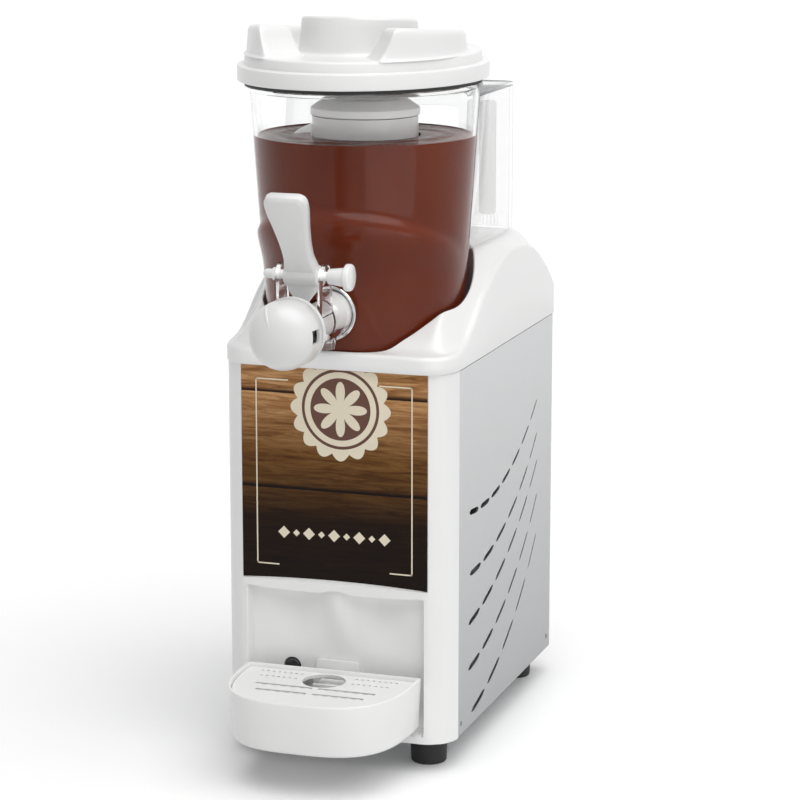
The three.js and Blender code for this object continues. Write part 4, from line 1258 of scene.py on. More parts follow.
    def bracket(self) -> None:
        """Builds the folded bracket that the drip tray hangs on."""
        outline = rounded([(-27, 14), (27, 14), (18, 63), (-18, 63)], 2.0)
        plate = sheet_xz("bracket_plate", outline, 6.5, 9.6)
        section = [(-16, 43.1), (7.5, 43.1), (7.5, 46.4), (-13.7, 46.4), (-13.7, 48.4), (-16, 48.4)]
        tongue = sheet_yz("bracket_tongue", section, -14, 14)
        bracket = bevelled(joined("tray_hanger", plate, tongue), 0.5)
        self.done(bracket, self.palette.soft_white, "chassis", "white_abs", "tray_bracket")

    def knob(self) -> None:
        """Builds the thermostat's small black knob."""
        profile = [(0, 8.7), (5.6, 8.7), (6.4, 9.2), (6.7, 10.2), (6.7, 18), (0, 18)]
        cap = turned("knob_cap", Axis.Y, self.knob_place, profile, 40)
        grip = block("knob_grip", (-42.1, 6.6, 48.4), (-39.9, 9.4, 59.6), 0.5)
        knob = joined("heat_knob", cap, grip)
        self.done(knob, self.palette.black, "knob", "black_plastic", "thermostat_knob")


# The casing


@dataclass
class Casing(Assembly):
    """The white top casing: a low deck that sweeps up behind the bowl."""

    half_width: float = 100.6
    front: float = -4.0
    rear: float = 320.6
    bottom: float = 312.4
    pocket_radius: float = 88.0
    pocket_y: float = 88.0
    hole_radius: float = 79.6
    pocket_draft: float = 4.0
    pocket_shift: float = 0.7
    floor: float = 316.0
    front_corner: float = 28.5
    rear_corner: float = 14.0
    edge: float = 4.5
    foot: float = 0.6
    lip: float = 1.4
    side_edge: tuple[Point2, ...] = (
        (-4, 325.5), (20, 326.5), (43, 330), (60, 339), (84, 356), (115, 373), (146, 386), (181, 391),
        (223, 387), (250, 379), (272, 367), (293, 353), (311, 337), (321, 322),
    )
    middle: tuple[Point2, ...] = (
        (-4, 327), (9, 328.5), (18, 337), (34, 349), (57, 362.5), (81, 377), (106, 389.5), (126, 397),
        (150, 400), (215, 400), (246, 397), (276, 388), (298, 373), (311, 357), (321, 336),
    )

    def height(self, x: float, y: float) -> float:
        """Works out the casing's skin.

        Args:
            x: Millimetres to the right of the middle.
            y: Millimetres behind the front plane.

        Returns:
            The height of the skin there.
        """
        side = along(self.side_edge, y)
        inward = self.half_width - abs(x)
        return side + (along(self.middle, y) - side) * smoothstep(inward / 24.0)

    def outline(self, inset: float) -> list[Point2]:
        """Draws the plan of the casing.

        Args:
            inset: How far it is drawn in.

        Returns:
            The outline, from the middle of the front and round to the right.
        """
        half = self.half_width - inset
        front, rear = self.front + inset, self.rear - inset
        ahead, behind = self.front_corner - inset, self.rear_corner - inset
        points: list[Point2] = [(x, front) for x in spread(0.0, half - ahead, 14)[:-1]]
        points += arc((half - ahead, front + ahead), ahead, spread(-math.pi / 2, 0.0, 14))
        points += [(half, y) for y in spread(front + ahead, rear - behind, 48)[1:-1]]
        points += arc((half - behind, rear - behind), behind, spread(0.0, math.pi / 2, 12))
        points += [(x, rear) for x in spread(half - behind, 0.0, 14)[1:]]
        return points + [(-x, y) for x, y in reversed(points[1:-1])]

    def build(self) -> None:
        """Builds the casing as rings from its lip to its pocket."""
        rings: list[Ring] = []
        centre, axis = Vector((0.0, self.pocket_y)), Vector((0.0, BOWL_AXIS_Y))

        def add(points: Sequence[Sequence[float]], height: Callable[[int], float]) -> None:
            """Adds one ring of the casing at the given heights."""
            rings.append([at(x, y, height(i)) for i, (x, y) in enumerate(points)])

        base, inset = self.outline(0.0), self.outline(self.edge)
        top = [self.height(x, y) for x, y in inset]
        for drawn_in, rise in ((3.0, 5.0), (3.0, 0.0), (0.5, 0.0), (0.0, self.foot)):
            add(self.outline(drawn_in), lambda i: self.bottom + rise)
        foot = self.bottom + self.foot
        for share in (0.5, 1.0):
            add(base, lambda i: foot + (top[i] - self.edge - foot) * share)
        for a in spread(0.0, math.pi / 2, 7)[1:]:
            drawn = self.outline(self.edge * (1 - math.cos(a)))
            add(drawn, lambda i: top[i] - self.edge * (1 - math.sin(a)))
        outwards = [(Vector(p) - centre).normalized() for p in base]
        rim = [centre + way * (self.pocket_radius + self.lip) for way in outwards]
        for share in spread(0.0, 1.0, 26)[1:]:
            mixed = [Vector(p).lerp(rim[i], share) for i, p in enumerate(inset)]
            add(mixed, lambda i: self.height(*mixed[i]))
        edge = [self.height(*p) for p in rim]
        for a in spread(0.0, math.pi / 2, 5)[1:]:
            reach = self.pocket_radius + self.lip * (1 - math.sin(a))
            drawn = [centre + way * reach for way in outwards]
            add(drawn, lambda i: edge[i] - self.lip * (1 - math.cos(a)))

        def wall(share: float, shrink: float = 0.0) -> list[Vector]:
            """Draws the pocket's wall in plan, which draws in towards its floor.

            Args:
                share: How far down the wall it is, from 0 to 1.
                shrink: How far it is drawn in besides.

            Returns:
                The wall's points.
            """
            reach = self.pocket_radius - self.pocket_draft * share - shrink
            middle = centre.lerp(axis, self.pocket_shift * share)
            return [middle + way * reach for way in outwards]

        for share in (0.0, 0.2, 0.4, 0.6, 0.8):
            drop = [self.floor + 3 - z + self.lip for z in edge]
            add(wall(share), lambda i: edge[i] - self.lip + drop[i] * share)
        for shrink, rise in ((0.0, 3.0), (0.6, 1.2), (1.8, 0.3), (3.4, 0.0)):
            add(wall(1.0, shrink), lambda i: self.floor + rise)
        hole = [axis + (p - axis).normalized() * self.hole_radius for p in wall(1.0)]
        for sink in (0.0, 2.6):
            add(hole, lambda i: self.floor - sink)
        piece = grow("casing_shell", rings, end=Ends.LOOP)
        self.done(piece, self.palette.white, "chassis", "white_abs", "top_casing", angle=40)


# The bowl, its drink and its grip


@dataclass
class Bowl(Assembly):
    """The clear bowl with its wide rim, its hollow grip and the drink in it."""

    bottom: float = 320.0
    top: float = 536.0
    foot_radius: float = 80.0
    flare: float = 15.3
    wall: float = 3.2
    mouth: float = 67.5
    rim_middle: float = 79.0
    nose_top: float = 446.0
    nose_foot: float = 384.0
    nose_reach: float = 6.0
    nose_spread: float = 85.0
    nose_droop: float = 26.0
    level: float = 495.3
    column: float = 46.2
    grip_half_width: float = 86.0
    grip_rear: float = 233.0
    grip_corner: float = 13.0
    grip_wall: float = 3.0
    grip_low: float = 401.0
    grip_high: float = 528.0
    count: int = 144

    def radius(self, z: float) -> float:
        """Returns the outer radius at a height."""
        rise = max(z - self.bottom, 0.0) / (self.top - self.bottom)
        return self.foot_radius + self.flare * rise**0.9

    def nose(self, angle: float, z: float) -> float:
        """Works out the nose over the tap.

        Args:
            angle: Degrees from the front.
            z: The height.

        Returns:
            How far the nose stands out there.
        """
        away = abs(angle) / self.nose_spread
        if away >= 1:
            return 0.0
        top = self.nose_top - self.nose_droop * (abs(angle) / 70.0) ** 2
        rise = smoothstep((top - z) / 12.0) * smoothstep((z - self.nose_foot) / 40.0)
        return self.nose_reach * (1 - away**4) * rise

    def level_ring(self, middle: float, z: float, reach: Callable[[float], Point2]) -> Ring:
        """Draws a level ring that starts and ends at the rear.

        Args:
            middle: How far back its middle is.
            z: Its height.
            reach: Gives the ring's half width and half depth at a number of degrees from the front.

        Returns:
            The ring.
        """
        points = []
        for i in range(self.count):
            angle = 360.0 * i / self.count - 180.0
            across, deep = reach(angle)
            a = math.radians(angle)
            points.append(at(across * math.sin(a), middle - deep * math.cos(a), z))
        return points

    def ring(self, z: float, inset: float) -> Ring:
        """Returns a ring of the bowl's wall, drawn in by an inset."""
        radius = self.radius(z) - inset
        return self.level_ring(BOWL_AXIS_Y, z, lambda angle: (radius + self.nose(angle, z),) * 2)

    def rim(self, half_width: float, half_depth: float, z: float) -> Ring:
        """Returns a ring of the wide oval rim."""
        return self.level_ring(self.rim_middle, z, lambda angle: (half_width, half_depth))

    def circle(self, radius: float, z: float) -> Ring:
        """Returns a ring round the bowl's axis."""
        return self.level_ring(BOWL_AXIS_Y, z, lambda angle: (radius, radius))

    def build(self) -> None:
        """Builds the bowl, the grip and the drink."""
        heights = [323.0, 340.0, 360.0, 378.0] + spread(384.0, 452.0, 24) + spread(460.0, 530.0, 8)
        rings = [self.ring(320.0, 2.2), self.ring(320.6, 0.6)]
        rings += [self.ring(z, 0.0) for z in heights + [534.6]]
        rings += [self.rim(95.2, 118.4, 536.0), self.rim(95.5, 119.0, 536.5)]
        rings += [self.rim(95.5, 119.0, 538.7), self.rim(95.2, 118.4, 539.2)]
        rings.append(self.ring(539.2, self.wall))
        rings += [self.ring(z, self.wall) for z in reversed(heights[1:])]
        rings += [self.ring(325.0, self.wall), self.ring(323.4, self.wall + 1.6)]
        rings += [self.circle(self.mouth, z) for z in (323.4, 320.0)]
        shell = grow("bowl_shell", rings, end=Ends.LOOP)
        self.done(shell, self.palette.clear, "bowl", "clear_plastic", "bowl", angle=30)
        self.grip()
        self.drink()

    def grip_plan(self, z: float) -> tuple[list[Point2], list[Point2]]:
        """Draws the grip's wall in plan at a height.

        Args:
            z: The height.

        Returns:
            Its outside from the bowl's right and round to its left, and its inside likewise.
        """
        turn = spread(0.0, math.pi / 2, 8)
        sides = []
        for inset in (0.0, self.grip_wall):
            x, bend = self.grip_half_width - inset, self.grip_corner - inset
            reach = math.sqrt(max(self.radius(z) ** 2 - x * x, 0.0)) + BOWL_AXIS_Y
            side = [(x, reach), (x, (reach + self.grip_rear) / 2)]
            sides.append(mirrored(side + arc((x - bend, self.grip_rear - inset - bend), bend, turn)))
        return sides[0], sides[1]

    def grip(self) -> None:
        """Builds the hollow grip behind the bowl, with a window for the hand."""
        low, under, high = self.grip_low, self.grip_high - self.grip_wall, self.grip_high
        rings = []
        for z in [low, low + 0.8] + spread(420.0, 520.0, 6) + [under]:
            outside, inside = self.grip_plan(z)
            rings.append([at(x, y, z) for x, y in outside + list(reversed(inside))])
        wall = grow("grip_wall", rings)
        window = rounded(rectangle((-42, 440), (42, 505)), 9.0)
        carved(wall, sheet_xz("grip_window", window, 226, 236))
        outside = self.grip_plan(high)[0]
        start, stop = (math.atan2(y - BOWL_AXIS_Y, x) for x, y in (outside[-1], outside[0]))
        bowl_side = arc((0.0, BOWL_AXIS_Y), self.radius(high), spread(start, stop, 22)[1:-1])
        rings = [[at(x, y, z) for x, y in outside + bowl_side] for z in (under, high)]
        cover = grow("grip_cover", rings)
        comb = []
        for i in range(5):
            x = 56 + 3.4 * i
            comb.append(block(f"grip_comb_{i}", (x, 223, 402), (x + 1.2, 230.5, 411)))
        grip = bevelled(joined("bowl_grip", wall, cover, *comb), 0.7, 2, 50)
        self.done(grip, self.palette.thin_clear, "bowl", "clear_plastic", "bowl_grip", angle=30)
        profile = [(0, 413), (6.4, 413), (7.4, 415), (7.4, 509), (6.4, 511), (0, 511)]
        bars = []
        for side in (-1, 1):
            bars.append(turned(f"hand_bar_{side}", Axis.Z, (side * 63.2, 222.4, 0), profile, 40))
        self.done(joined("grip_bars", *bars), self.palette.cloudy, "bowl", "clear_plastic", angle=30)

    def drink(self) -> None:
        """Builds the drink: what shows through the wall, and its surface."""
        inset, skin = self.wall - 0.3, self.level + 0.7
        heights = [323.2, 340.0, 360.0, 378.0] + spread(384.0, 452.0, 24) + [470.0, 488.0, skin]
        rings = [self.circle(self.column, heights[0])] + [self.ring(z, inset) for z in heights]
        wall = grow("hot_chocolate", rings, Ends.OPEN, Ends.OPEN)
        self.done(wall, self.palette.chocolate, "bowl", "clear_plastic", angle=50)
        edge, inner = self.ring(self.level, inset + 0.6), self.circle(self.column, self.level)
        rings = [self.ring(skin, inset), edge]
        for share in spread(0.0, 1.0, 22)[1:]:
            ring = []
            for start, stop, angle in zip(edge, inner, around(self.count)):
                point = start.lerp(stop, share)
                ripple = math.sin(3 * angle + 9 * share) * 0.5 + math.sin(5 * angle - 14 * share) * 0.3
                point.z += ripple * MM * math.sin(math.pi * share) * 0.9
                ring.append(point)
            rings.append(ring)
        surface = grow("chocolate_surface", rings, Ends.OPEN, Ends.OPEN)
        self.done(surface, self.palette.surface, "bowl", "clear_plastic", angle=50)


# The lid


@dataclass
class Lid(Assembly):
    """The white lid: a stepped oval rim, a block with a funnel and a valley, and a round grip."""

    half_width: float = 100.9
    half_depth: float = 126.6
    middle: float = 79.0
    block_half_width: float = 89.0
    block_half_depth: float = 100.0
    block_middle: float = 62.0
    floor: float = 566.0
    valley_y: float = 68.0
    valley_radius: float = 66.0
    fall: float = 0.083
    fall_start: float = -11.0
    fall_rise: float = 20.0
    funnel_half_width: float = 48.8
    funnel_front: float = -23.0
    funnel_taper: float = 0.707
    funnel_flare: float = 13.6
    funnel_rise: float = 28.0
    funnel_slant: float = 1.225

    def build(self) -> None:
        """Builds the lid and its gasket."""
        levels = [(564.6, -2.6), (565.4, -1.7), (566.2, -0.8), (567.4, -0.1)]
        levels += zip(spread(571.5, 586.0, 5), spread(0.3, 1.2, 5))
        levels += [(588.4, 1.9), (590.0, 3.0), (590.8, 4.6), (591.0, 6.4)]
        raised_block = grow("lid_block", [self.block(z, e) for z, e in levels])
        lid = joined("lid_shell", self.plate(), raised_block, self.tower())
        self.done(lid, self.palette.white, "lid", "white_abs", "lid", angle=38)
        gasket = [
            (0.4, 539.6), (0.0, 540.2), (0.0, 547.2), (3.6, 547.6),
            (4.0, 547.0), (4.0, 540.0), (3.6, 539.6),
        ]
        rings = [oval(95.5 - e, 119.0 - e, self.middle, z) for e, z in gasket]
        seal = grow("lid_seal", rings, end=Ends.LOOP)
        self.done(seal, self.palette.rubber, "lid", "seal_rubber", "lid_gasket", angle=40)

    def plate(self) -> Piece:
        """Shapes the rim and the step above it.

        Returns:
            The plate.
        """
        profile = [
            (60, 548), (20, 548), (3, 548), (3, 543.4), (2.4, 543), (0.6, 543), (0, 543.7), (0, 554.4),
            (0.5, 555.5), (1.6, 556), (5.2, 556.2), (5.8, 556.6), (6, 557.4), (6.3, 563.2),
            (6.9, 564.4), (8, 565), (14, 565.2), (40, 565.4), (80, 565.4),
        ]
        rings = [oval(self.half_width - e, self.half_depth - e, self.middle, z) for e, z in profile]
        return grow("lid_plate", rings, Ends.POINT, Ends.POINT)

    def sloped(self, x: float, y: float, z: float) -> Vector:
        """Gives a point of the lid's upper part, whose tops fall towards the back."""
        share = min(max((z - self.floor) / self.fall_rise, 0.0), 1.0)
        return at(x, y, z - self.fall * share * (y - self.fall_start))

    def funnel(self, y: float, z: float, inset: float) -> float:
        """Returns half the funnel's width at a place.

        Args:
            y: How far back the place is.
            z: Its height.
            inset: How far the block's outline is drawn in there.

        Returns:
            Half the width in millimetres.
        """
        rise = min(max((z - self.floor) / self.funnel_rise, 0.0), 1.0)
        straight = self.funnel_half_width - self.funnel_taper * (y - self.funnel_front)
        return straight + self.funnel_flare * (1 - (1 - rise) ** 1.7) + self.funnel_slant * inset

    def block(self, z: float, inset: float) -> Ring:
        """Returns a level slice of the block, open at the front and hollow round the grip.

        Args:
            z: The slice's height.
            inset: How far its outline is drawn in.

        Returns:
            The slice as one ring.
        """
        a, b = self.block_half_width - inset, self.block_half_depth - inset
        radius = self.valley_radius + inset

        def beyond(t: float) -> float:
            """Returns how far the oval at an angle from the front is outside the funnel."""
            return a * math.sin(t) - self.funnel(self.block_middle - b * math.cos(t), z, inset)

        def outside(y: float) -> float:
            """Returns how far the funnel's wall at a place is outside the valley."""
            return math.hypot(self.funnel(y, z, inset), y - self.valley_y) - radius

        corner = crossing(beyond, 0.0, math.pi / 2)
        tip = self.block_middle - b * math.cos(corner)
        throat = crossing(outside, 34.0, tip)
        outer = []
        for t in spread(corner, 2 * math.pi - corner, 200):
            outer.append((a * math.sin(t), self.block_middle - b * math.cos(t)))
        wall = [(self.funnel(y, z, inset), y) for y in spread(tip, throat, 18)]
        turn = math.atan2(throat - self.valley_y, wall[-1][0])
        valley = arc((0.0, self.valley_y), radius, spread(math.pi - turn, turn, 132)[1:-1])
        left = [(-x, y) for x, y in wall[1:]]
        points = [Vector(p) for p in outer + left + valley + list(reversed(wall[1:]))]
        for _ in range(2):
            after = points[1:] + points[:1]
            before = points[-1:] + points[:-1]
            points = [(a + p * 2 + b) / 4 for a, p, b in zip(before, points, after)]
        return [self.sloped(p.x, p.y, z) for p in points]

    def tower(self) -> Piece:
        """Shapes the round grip in the middle of the valley.

        Returns:
            The grip.
        """
        profile = [
            (52.2, 565.0), (51.0, 566.2), (50.3, 567.6), (50.0, 570.0), (49.0, 581.0),
            (48.2, 590.0), (47.5, 596.5), (46.8, 598.0), (45.4, 598.8), (43.0, 599.0),
        ]
        rings = []
        for radius, z in profile:
            circle = arc((0.0, self.valley_y), radius, around(112))
            rings.append([self.sloped(x, y, z) for x, y in circle])
        return grow("lid_tower", rings)


# The stirrer


@dataclass
class Stirrer(Assembly):
    """The sleeve, hat and spiral blade that turn over the heated column."""

    outer: float = 62.0
    inner: float = 44.4
    top: float = 511.0
    pitch: float = 66.0
    turns: float = 2.65
    steps_per_turn: int = 48

    def build(self) -> None:
        """Builds the three pieces of the stirrer."""
        axis = (0.0, BOWL_AXIS_Y, 0.0)
        sleeve = [(41.5, 326), (44, 326), (44, 500), (44, 511.6), (41.5, 511.6), (41.5, 500)]
        tube = turned("stirrer_tube", Axis.Z, axis, sleeve, 96, hollow=True)
        self.done(tube, self.palette.white, "mixer", "white_abs", "stirrer_sleeve")
        hat = [
            (5.4, 512.2), (44.8, 512.2), (45.4, 512.9), (45.4, 517.0), (44.9, 518.4),
            (43.6, 519.3), (35.0, 525.2), (33.2, 526.0), (30.5, 526.4), (0, 526.4),
        ]
        cap = turned("stirrer_cap", Axis.Z, axis, hat, 96)
        # The hat gets the lit copy of the white moulding, painted light against the lid's shadow.
        self.done(cap, self.palette.bright, "mixer", "white_abs", "stirrer_hat", angle=20)
        steps = int(self.steps_per_turn * self.turns)
        corners = [(self.inner, -2.1), (self.outer, -1.2), (self.outer, 1.2), (self.inner, 2.1)]
        section = rounded(corners, 0.9, 3)
        rings = []
        for i in range(steps + 1):
            share = i / self.steps_per_turn
            angle = math.pi / 2 + 2 * math.pi * share
            ease = 0.7 + 0.3 * min(i, steps - i, 4) / 4
            ring = []
            for r, h in section:
                reach = self.inner + (r - self.inner) * ease
                ring.append(Axis.Z.point(axis, reach, self.top - self.pitch * share + h, angle))
            rings.append(ring)
        blade = grow("stirrer_blade", rings)
        self.done(blade, self.palette.white, "mixer", "white_abs", "spiral_blade")


# The tap


@dataclass
class Tap(Assembly):
    """The clear barrel with its white cap, pin and lever, and what works inside."""

    axis: Point3 = (0.0, 0.0, TAP_AXIS_Z)
    pivot: Point3 = (0.0, -69.0, 400.6)
    dome_y: float = -112.0
    dome_depth: float = 22.6
    dome_radius: float = 27.3
    dome_inside: float = 24.6
    dome_power: float = 0.8
    rib_radius: float = 27.4
    rib_angle: float = 115.0
    lean: float = 31.0
    coil_ends: Point2 = (-118.6, -91.6)
    coil_turns: int = 5
    coil_radius: float = 9.8
    coil_wire: float = 0.9

    def build(self) -> None:
        """Builds every piece of the tap."""
        self.barrel()
        self.cap()
        self.pin()
        self.lever()
        self.piston()

    def barrel(self) -> None:
        """Builds the clear barrel with its ears and spout, and the collar round it."""
        profile = [
            (16.2, 2.0), (19.4, 2.2), (20, 1.6), (20, -58), (20, -81.6), (23.4, -84), (24, -84.6),
            (24, -89.6), (23.6, -90), (6.6, -90), (6.6, -85), (16.2, -85), (16.2, -60),
        ]
        tube = turned("barrel_tube", Axis.Y, self.axis, profile, 72, hollow=True)
        carved(tube, block("finger_slot", (-5.5, -86.2, 368), (5.5, -52, 392)))
        _, y, z = self.pivot
        outline = [(y - 13, 369.0), (y + 13, 369.0)] + arc((y, z), 9, spread(0.0, math.pi, 16))
        ears = []
        for side in (-1, 1):
            near, far = side * 16.2, side * 20.2
            ears.append(sheet_yz(f"ear_{side}", outline, min(near, far), max(near, far)))
        mouth = [(6.6, 333.2), (8.4, 333), (8.8, 333.6), (10, 345), (6.6, 345)]
        spout = turned("spout", Axis.Z, (0, -20, 0), mouth, 48, hollow=True)
        barrel = joined("tap_tube", tube, *ears, spout)
        self.done(barrel, self.palette.thick_clear, "bowl", "clear_plastic", "tap_barrel")
        ring = [
            (20.3, -9.2), (22.0, -9.4), (22.5, -8.8), (22.6, -7.2),
            (22.5, -5.6), (22.0, -5.0), (20.3, -5.0),
        ]
        collar = turned("tap_ring", Axis.Y, self.axis, ring, 72, hollow=True)
        self.done(collar, self.palette.chrome, "bowl", "polished_steel", "tap_collar")

    def dome(self, radius: float, depth: float, angles: Sequence[float]) -> list[Point2]:
        """Draws the cap's round end.

        Args:
            radius: Its radius.
            depth: How far it stands out.
            angles: Angles from the cap's tip, in radians, of which one is 0.

        Returns:
            Pairs of radius and height.
        """
        points = []
        for a in angles:
            height = self.dome_y - depth * max(math.cos(a), 0.0) ** self.dome_power
            points.append((radius * math.sin(a) if a > 1e-9 else 0.0, height))
        return points

    def cap(self) -> None:
        """Builds the white dome with its seam line, its side hole with a black block of painted shade
        behind it, and its raised rib.
        """
        walls = [
            (27.4, -110.0), (27.5, -98.6), (27.3, -98.2), (26.0, -98.0), (26.0, -97.1), (27.3, -96.9),
            (27.5, -96.5), (27.5, -92.8), (27.0, -92.2), (25.4, -92.0), (25.0, -93.0), (25.0, -111.0),
        ]
        inward, outward = spread(math.pi / 2, 0.0, 12), spread(0.0, math.pi / 2, 16)
        profile = self.dome(self.dome_radius, self.dome_depth, outward) + walls
        profile += self.dome(self.dome_inside, self.dome_depth - 2.6, inward)[1:]
        shell = turned("cap_dome", Axis.Y, self.axis, profile, 96)
        carved(shell, block("cap_hole", (17, -119, 355.3), (30, -106, 365.9)))
        # A black block inside the side hole: painted shade that darkens the hole.
        painted_shade_block = block("cap_latch", (19.5, -118.5, 354), (23.0, -104, 367), 0.5)
        self.done(painted_shade_block, self.palette.black, "bowl", "black_plastic")
        cap = joined("tap_dome", shell, self.rib())
        self.done(cap, self.palette.tap_white, "bowl", "white_abs", "tap_cap", angle=30)

    def rib(self) -> Piece:
        """Shapes the thin raised rib that runs down the dome.

        Returns:
            The rib.
        """
        place = math.radians(self.rib_angle)
        rings = []
        for a in spread(0.35, 1.45, 14):
            radius = self.rib_radius * math.sin(a)
            y = self.dome_y - self.dome_depth * math.cos(a) ** self.dome_power
            swell = 0.9 * math.sin(math.pi * (a - 0.3) / 1.25) + 0.2
            ring = []
            for turn in around(8):
                across, out = 1.3 * swell * math.cos(turn), 0.8 * swell * math.sin(turn)
                x = (radius + out) * math.cos(place) - across * math.sin(place)
                z = (radius + out) * math.sin(place) + across * math.cos(place)
                ring.append(at(x, y - out * 0.4, TAP_AXIS_Z + z))
            rings.append(ring)
        return grow("cap_rib", rings)

    def pin(self) -> None:
        """Builds the pivot pin with its broad head."""
        profile = [
            (0, -33), (1.6, -32.7), (3.0, -31.6), (3.8, -29.8), (3.8, -25.0), (5.0, -24.6),
            (5.2, -23.6), (5.0, -22.5), (3.6, -22.0), (3.6, 21.2), (5.8, 21.8), (6.2, 23.0),
            (7.0, 30.0), (7.8, 35.2), (10.2, 36.0), (10.8, 36.6), (10.8, 39.6), (10.2, 40.6),
            (9.2, 41.0), (0, 41.0),
        ]
        pin = turned("tap_pin", Axis.X, self.pivot, profile, 48)
        self.done(pin, self.palette.white, "bowl", "white_abs", "pivot_pin", angle=28)

    def lever(self) -> None:
        """Builds the paddle that leans forward over the cap, its hub and its finger."""
        _, y, z = self.pivot
        stations = (
            (-3, 14.0), (5, 14.0), (10, 13.2), (17, 11.9), (30, 12.2), (48, 14.4),
            (62, 16.8), (69, 17.4), (74, 17.0), (77.4, 15.2), (79, 12.0),
        )
        outline = mirrored([(along(stations, v), v) for v in spread(-3.0, 79.0, 40)])
        sine, cosine = math.sin(math.radians(self.lean)), math.cos(math.radians(self.lean))
        rings = []
        edge = ((-5, 3.6), (-4.8, 3.1), (-2.8, 0.3), (-2.2, 0.0), (3.8, 0.0), (4.6, 0.7), (5, 1.6))
        for depth, inset in edge:
            ring = []
            width = 1 - inset / 18.5
            for x, v in outline:
                up = v - inset * (0.8 if v > 40 else -0.8)
                back, high = y - up * sine + depth * cosine, z + up * cosine + depth * sine
                ring.append(at(x * width, back, high))
            rings.append(ring)
        paddle = grow("lever_paddle", rings)
        tube = [(4.0, -14), (7.8, -14), (8.4, -13.4), (8.4, 13.4), (7.8, 14), (4.0, 14)]
        hub = turned("lever_hub", Axis.X, self.pivot, tube, 48, hollow=True)
        outline = mirrored([(13, 395), (12, 389), (5, 380), (4, 377), (4, 367.6)])
        finger = bevelled(sheet_xz("lever_finger", outline, y - 2.5, y + 2.5), 0.6)
        carved(paddle, turned("lever_bore", Axis.X, self.pivot, [(4.0, -20), (4.0, 20)], 40))
        lever = joined("tap_handle", paddle, hub, finger)
        self.done(lever, self.palette.tap_white, "lever", "white_abs", "tap_lever", angle=40)

    def piston(self) -> None:
        """Builds the coil spring in front of the barrel."""
        start, stop = self.coil_ends
        steps = 24 * self.coil_turns
        rings = []
        for i in range(steps + 1):
            angle, y = 2 * math.pi * i / 24, start + (stop - start) * i / steps
            section = arc((self.coil_radius, y), self.coil_wire, around(8))
            rings.append([Axis.Y.point(self.axis, r, h, angle) for r, h in section])
        coil = grow("piston_coil", rings)
        held = ("bowl", at(0, start, TAP_AXIS_Z), at(0, stop, TAP_AXIS_Z))
        self.done(coil, self.palette.steel, "piston", "spring_steel", "tap_spring", angle=60, far_end=held)


# The drip tray


@dataclass
class DripTray(Assembly):
    """The drip tray with its rounded front and the grille that lies in it."""

    half_width: float = 76.0
    depth: float = 100.0
    rear: float = -2.0
    exponent: float = 3.05
    side_draft: float = 5.6
    draft_top: float = 56.0
    draft_height: float = 39.0
    count: int = 120
    grille_low: float = 52.6
    grille_high: float = 55.0

    def ring(self, z: float, inset: float) -> Ring:
        """Returns a level ring of the tray's plan, whose sides and rear stand steeper than its front.

        Args:
            z: The ring's height.
            inset: How far its front is drawn in.

        Returns:
            The ring.
        """
        draft = self.side_draft * max(self.draft_top - z, 0.0) / self.draft_height
        half, depth = self.half_width - inset + 0.65 * draft, self.depth - inset
        rear = self.rear - inset + draft
        power = 2 / self.exponent
        front = []
        for i in range(self.count + 1):
            angle = math.pi * i / self.count
            c, s = math.cos(angle), max(math.sin(angle), 0.0)
            x = half * math.copysign(abs(c) ** power, c)
            front.append((x, rear - (depth + rear - self.rear) * s**power))
        back = [(x, rear) for x in spread(-half, half, 40)[1:-1]]
        return [at(x, y, z) for x, y in front + back]

    def build(self) -> None:
        """Builds the tray and its grille."""
        levels = [
            (15.6, 20), (15.6, 10.4), (16.2, 9.2), (17.6, 8.6), (50.0, 5.6), (51.6, 5.4), (52.2, 4.4),
            (52.3, 3.0), (53.0, 2.8), (57.2, 2.3), (57.8, 2.0), (58.0, 1.4), (57.8, 0.5), (57.2, 0.1),
            (56.0, 0.0), (17.0, 5.6), (15.0, 6.2), (13.7, 7.4), (13.0, 9.4), (13.0, 20),
        ]
        tray = grow("tray_basin", [self.ring(z, e) for z, e in levels])
        carved(tray, block("tray_notch", (-17, -12, 39), (17, 4, 51)))
        self.done(tray, self.palette.white, "tray", "white_abs", "drip_tray", angle=36)
        self.grille()

    def cutter(self, name: str, outline: Sequence[Point2]) -> Piece:
        """Returns an upright solid that reaches through the grille."""
        heights = (self.grille_low - 1, self.grille_high + 1)
        return grow(name, [[at(x, y, z) for x, y in outline] for z in heights])

    def grille(self) -> None:
        """Builds the grille with its finger hole, its rows of teeth and its slots."""
        low, high = self.grille_low, self.grille_high
        rings = [self.ring(low, 3.5), self.ring(high - 0.6, 3.4), self.ring(high, 3.9)]
        plate = grow("grille_plate", rings)
        hole = turned("finger_hole", Axis.Z, (0, -26, 0), [(18, low - 2), (18, high + 2)], 64)
        cutters = []
        for y, first, count in ((-13.0, 24.0, 8), (-26.0, 25.0, 7)):
            for side in (-1, 1):
                for i in range(count):
                    x = side * (first + i * 5.0)
                    outline = rounded([(x - 1.8, y - 1.6), (x + 1.8, y - 1.6), (x, y + 2.0)], 0.5, 2)
                    cutters.append(self.cutter(f"tooth_{y}_{side}_{i}", outline))
        for y, half in ((-47.0, 52.0), (-62.0, 47.0)):
            for left, right in ((-half, -2.5), (2.5, half)):
                outline = [(x, y + 1.5) for x in (left, right)]
                steps = int((right - left) / 4)
                for i in range(steps + 1):
                    outline.append((right - (right - left) * i / steps, y - (1.2 if i % 2 else 3.0)))
                cutters.append(self.cutter(f"slot_{y}_{left}", outline))
        carved(plate, hole, joined("grille_cutters", *cutters))
        self.done(plate, self.palette.white, "grille", "white_abs", "drip_grille")


